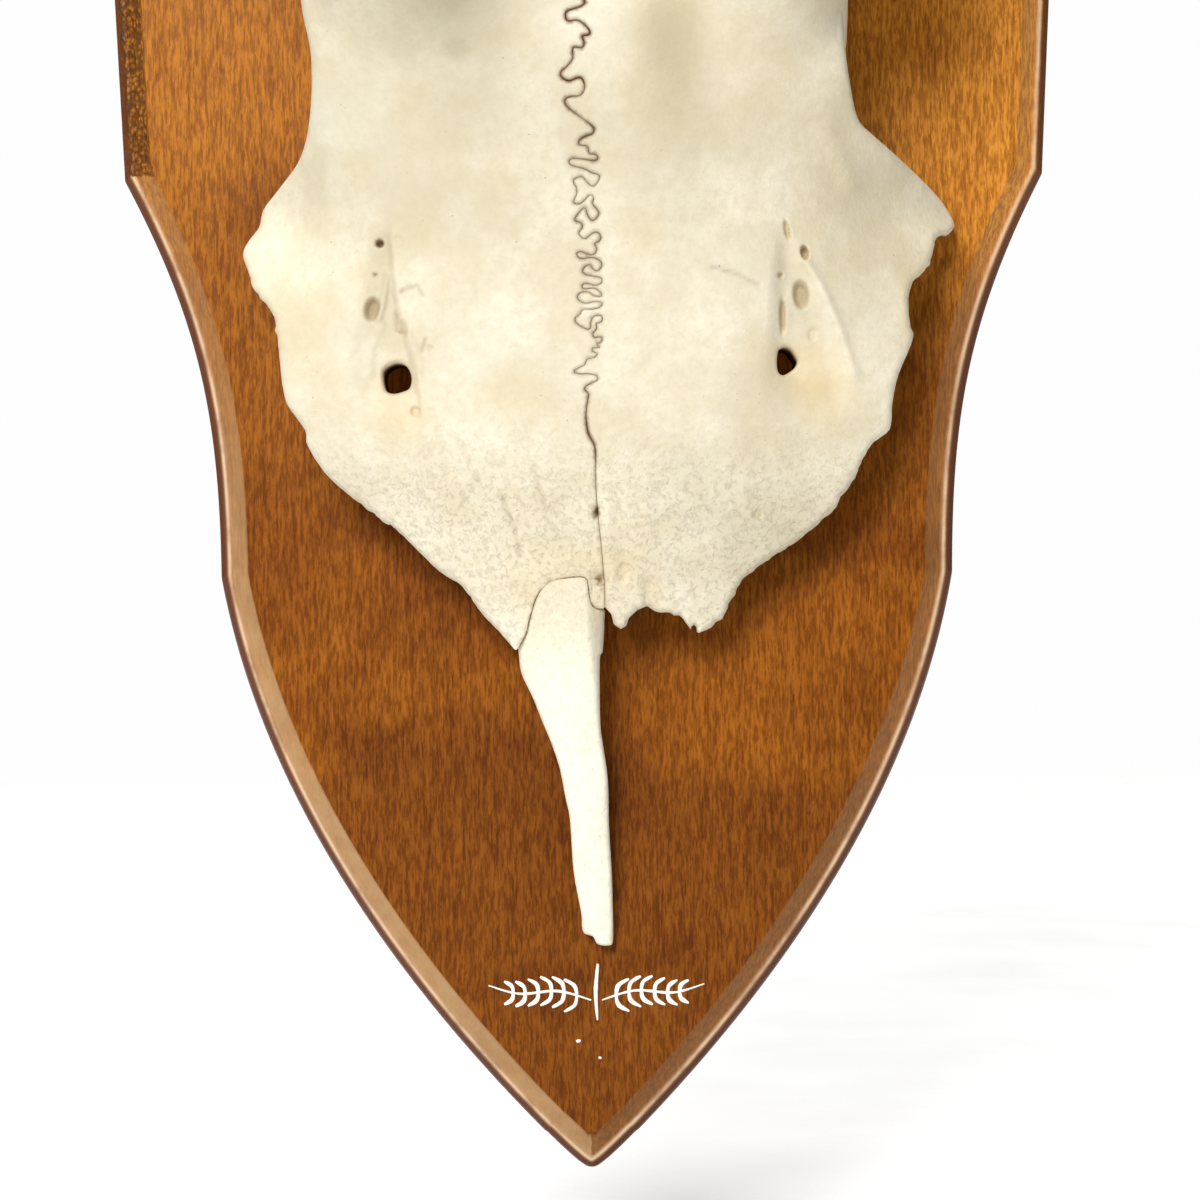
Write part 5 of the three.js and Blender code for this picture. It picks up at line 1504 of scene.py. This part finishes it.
nasal = outward(new_mesh("nasal", *nasal_bone()))
marks(nasal, bone_marks(corners_of(nasal)) * [0.0, 0.6, 0.3, 0.5] + [0, 0, 0, 0.1])
new_piece("nasal_bone", nasal, BONE, "bone", "nasal_right")
dome = merged_mesh("braincase", [braincase()])
marks(dome, bone_marks(corners_of(dome)))
new_piece("brain_case", dome, BONE, "bone", "braincase")
new_piece("hanger", hanger_mesh(), BRASS, "brass", "hanger_plate")
for end, name in ((-1, "lower"), (1, "upper")):
    screw = threaded(HANGER_SCREW, 0, HANGER_Z + end * HANGER_SCREW_OFF, 0.4 * end)
    new_piece(f"hanger_screw_fine_{name}", screw, BRASS, "brass", f"hanger_screw_{name}")

# Floor, light and camera

# Metres from here on.
FLOOR_Z = -0.19
FLOOR_REACH = 3
FLOOR_FAR_Y = 1.08
CAMERA_PLACE = Vector((0.00169, -0.408, -0.1017))
CAMERA_ROLL = math.radians(0.49)
CAMERA_ANGLE = math.radians(22.3)
KEY_PLACE = Vector((-0.27, -1.0, 0.38))
KEY_TARGET = Vector((0, -0.03, -0.08))

floor_mesh = bpy.data.meshes.new("floor")
floor_corners = [(-FLOOR_REACH, -FLOOR_REACH), (FLOOR_REACH, -FLOOR_REACH)]
floor_corners += [(FLOOR_REACH, FLOOR_FAR_Y), (-FLOOR_REACH, FLOOR_FAR_Y)]
floor_mesh.from_pydata([(x, y, FLOOR_Z) for x, y in floor_corners], [], [(0, 1, 2, 3)])
floor = bpy.data.objects.new("floor", floor_mesh)
bpy.context.scene.collection.objects.link(floor)
floor_mesh.materials.append(floor_finish())

world = bpy.data.worlds.new("studio")
bpy.context.scene.world = world
world.use_nodes = True
world_nodes, world_links = world.node_tree.nodes, world.node_tree.links
backdrop = world_nodes["Background"]
backdrop.inputs["Color"].default_value = (0.985, 0.99, 0.985, 1)
room = world_nodes.new("ShaderNodeBackground")
room.inputs["Color"].default_value = (1.0, 0.985, 0.96, 1)
room.inputs["Strength"].default_value = 0.2
seen = world_nodes.new("ShaderNodeLightPath")
either = world_nodes.new("ShaderNodeMixShader")
world_links.new(seen.outputs["Is Camera Ray"], either.inputs["Fac"])
world_links.new(room.outputs["Background"], either.inputs[1])
world_links.new(backdrop.outputs["Background"], either.inputs[2])
world_links.new(either.outputs["Shader"], world_nodes["World Output"].inputs["Surface"])

lamp = bpy.data.lights.new("key", "AREA")
lamp.shape = "DISK"
lamp.size = 0.42
lamp.energy = 13
key = bpy.data.objects.new("key", lamp)
bpy.context.scene.collection.objects.link(key)
key.location = KEY_PLACE
key.rotation_euler = (KEY_TARGET - KEY_PLACE).to_track_quat("-Z", "Y").to_euler()

top_lamp = bpy.data.lights.new("top", "SUN")
top_lamp.energy = 3.0
top_lamp.angle = math.radians(40)
top = bpy.data.objects.new("top", top_lamp)
bpy.context.scene.collection.objects.link(top)
top.rotation_euler = (math.radians(4), math.radians(-8), 0)

camera_data = bpy.data.cameras.new("camera")
camera_data.sensor_width = 36
camera_data.lens = camera_data.sensor_width / 2 / math.tan(CAMERA_ANGLE / 2)
camera_data.clip_start = 0.01
camera = bpy.data.objects.new("camera", camera_data)
bpy.context.scene.collection.objects.link(camera)
up = Vector((math.sin(CAMERA_ROLL), 0, math.cos(CAMERA_ROLL)))
back = Vector((0, -1, 0))
turn = Matrix((up.cross(back), up, back)).transposed().to_quaternion()
camera.matrix_world = Matrix.LocRotScale(CAMERA_PLACE, turn, None)
bpy.context.scene.camera = camera
bpy.context.scene.view_settings.view_transform = "Standard"
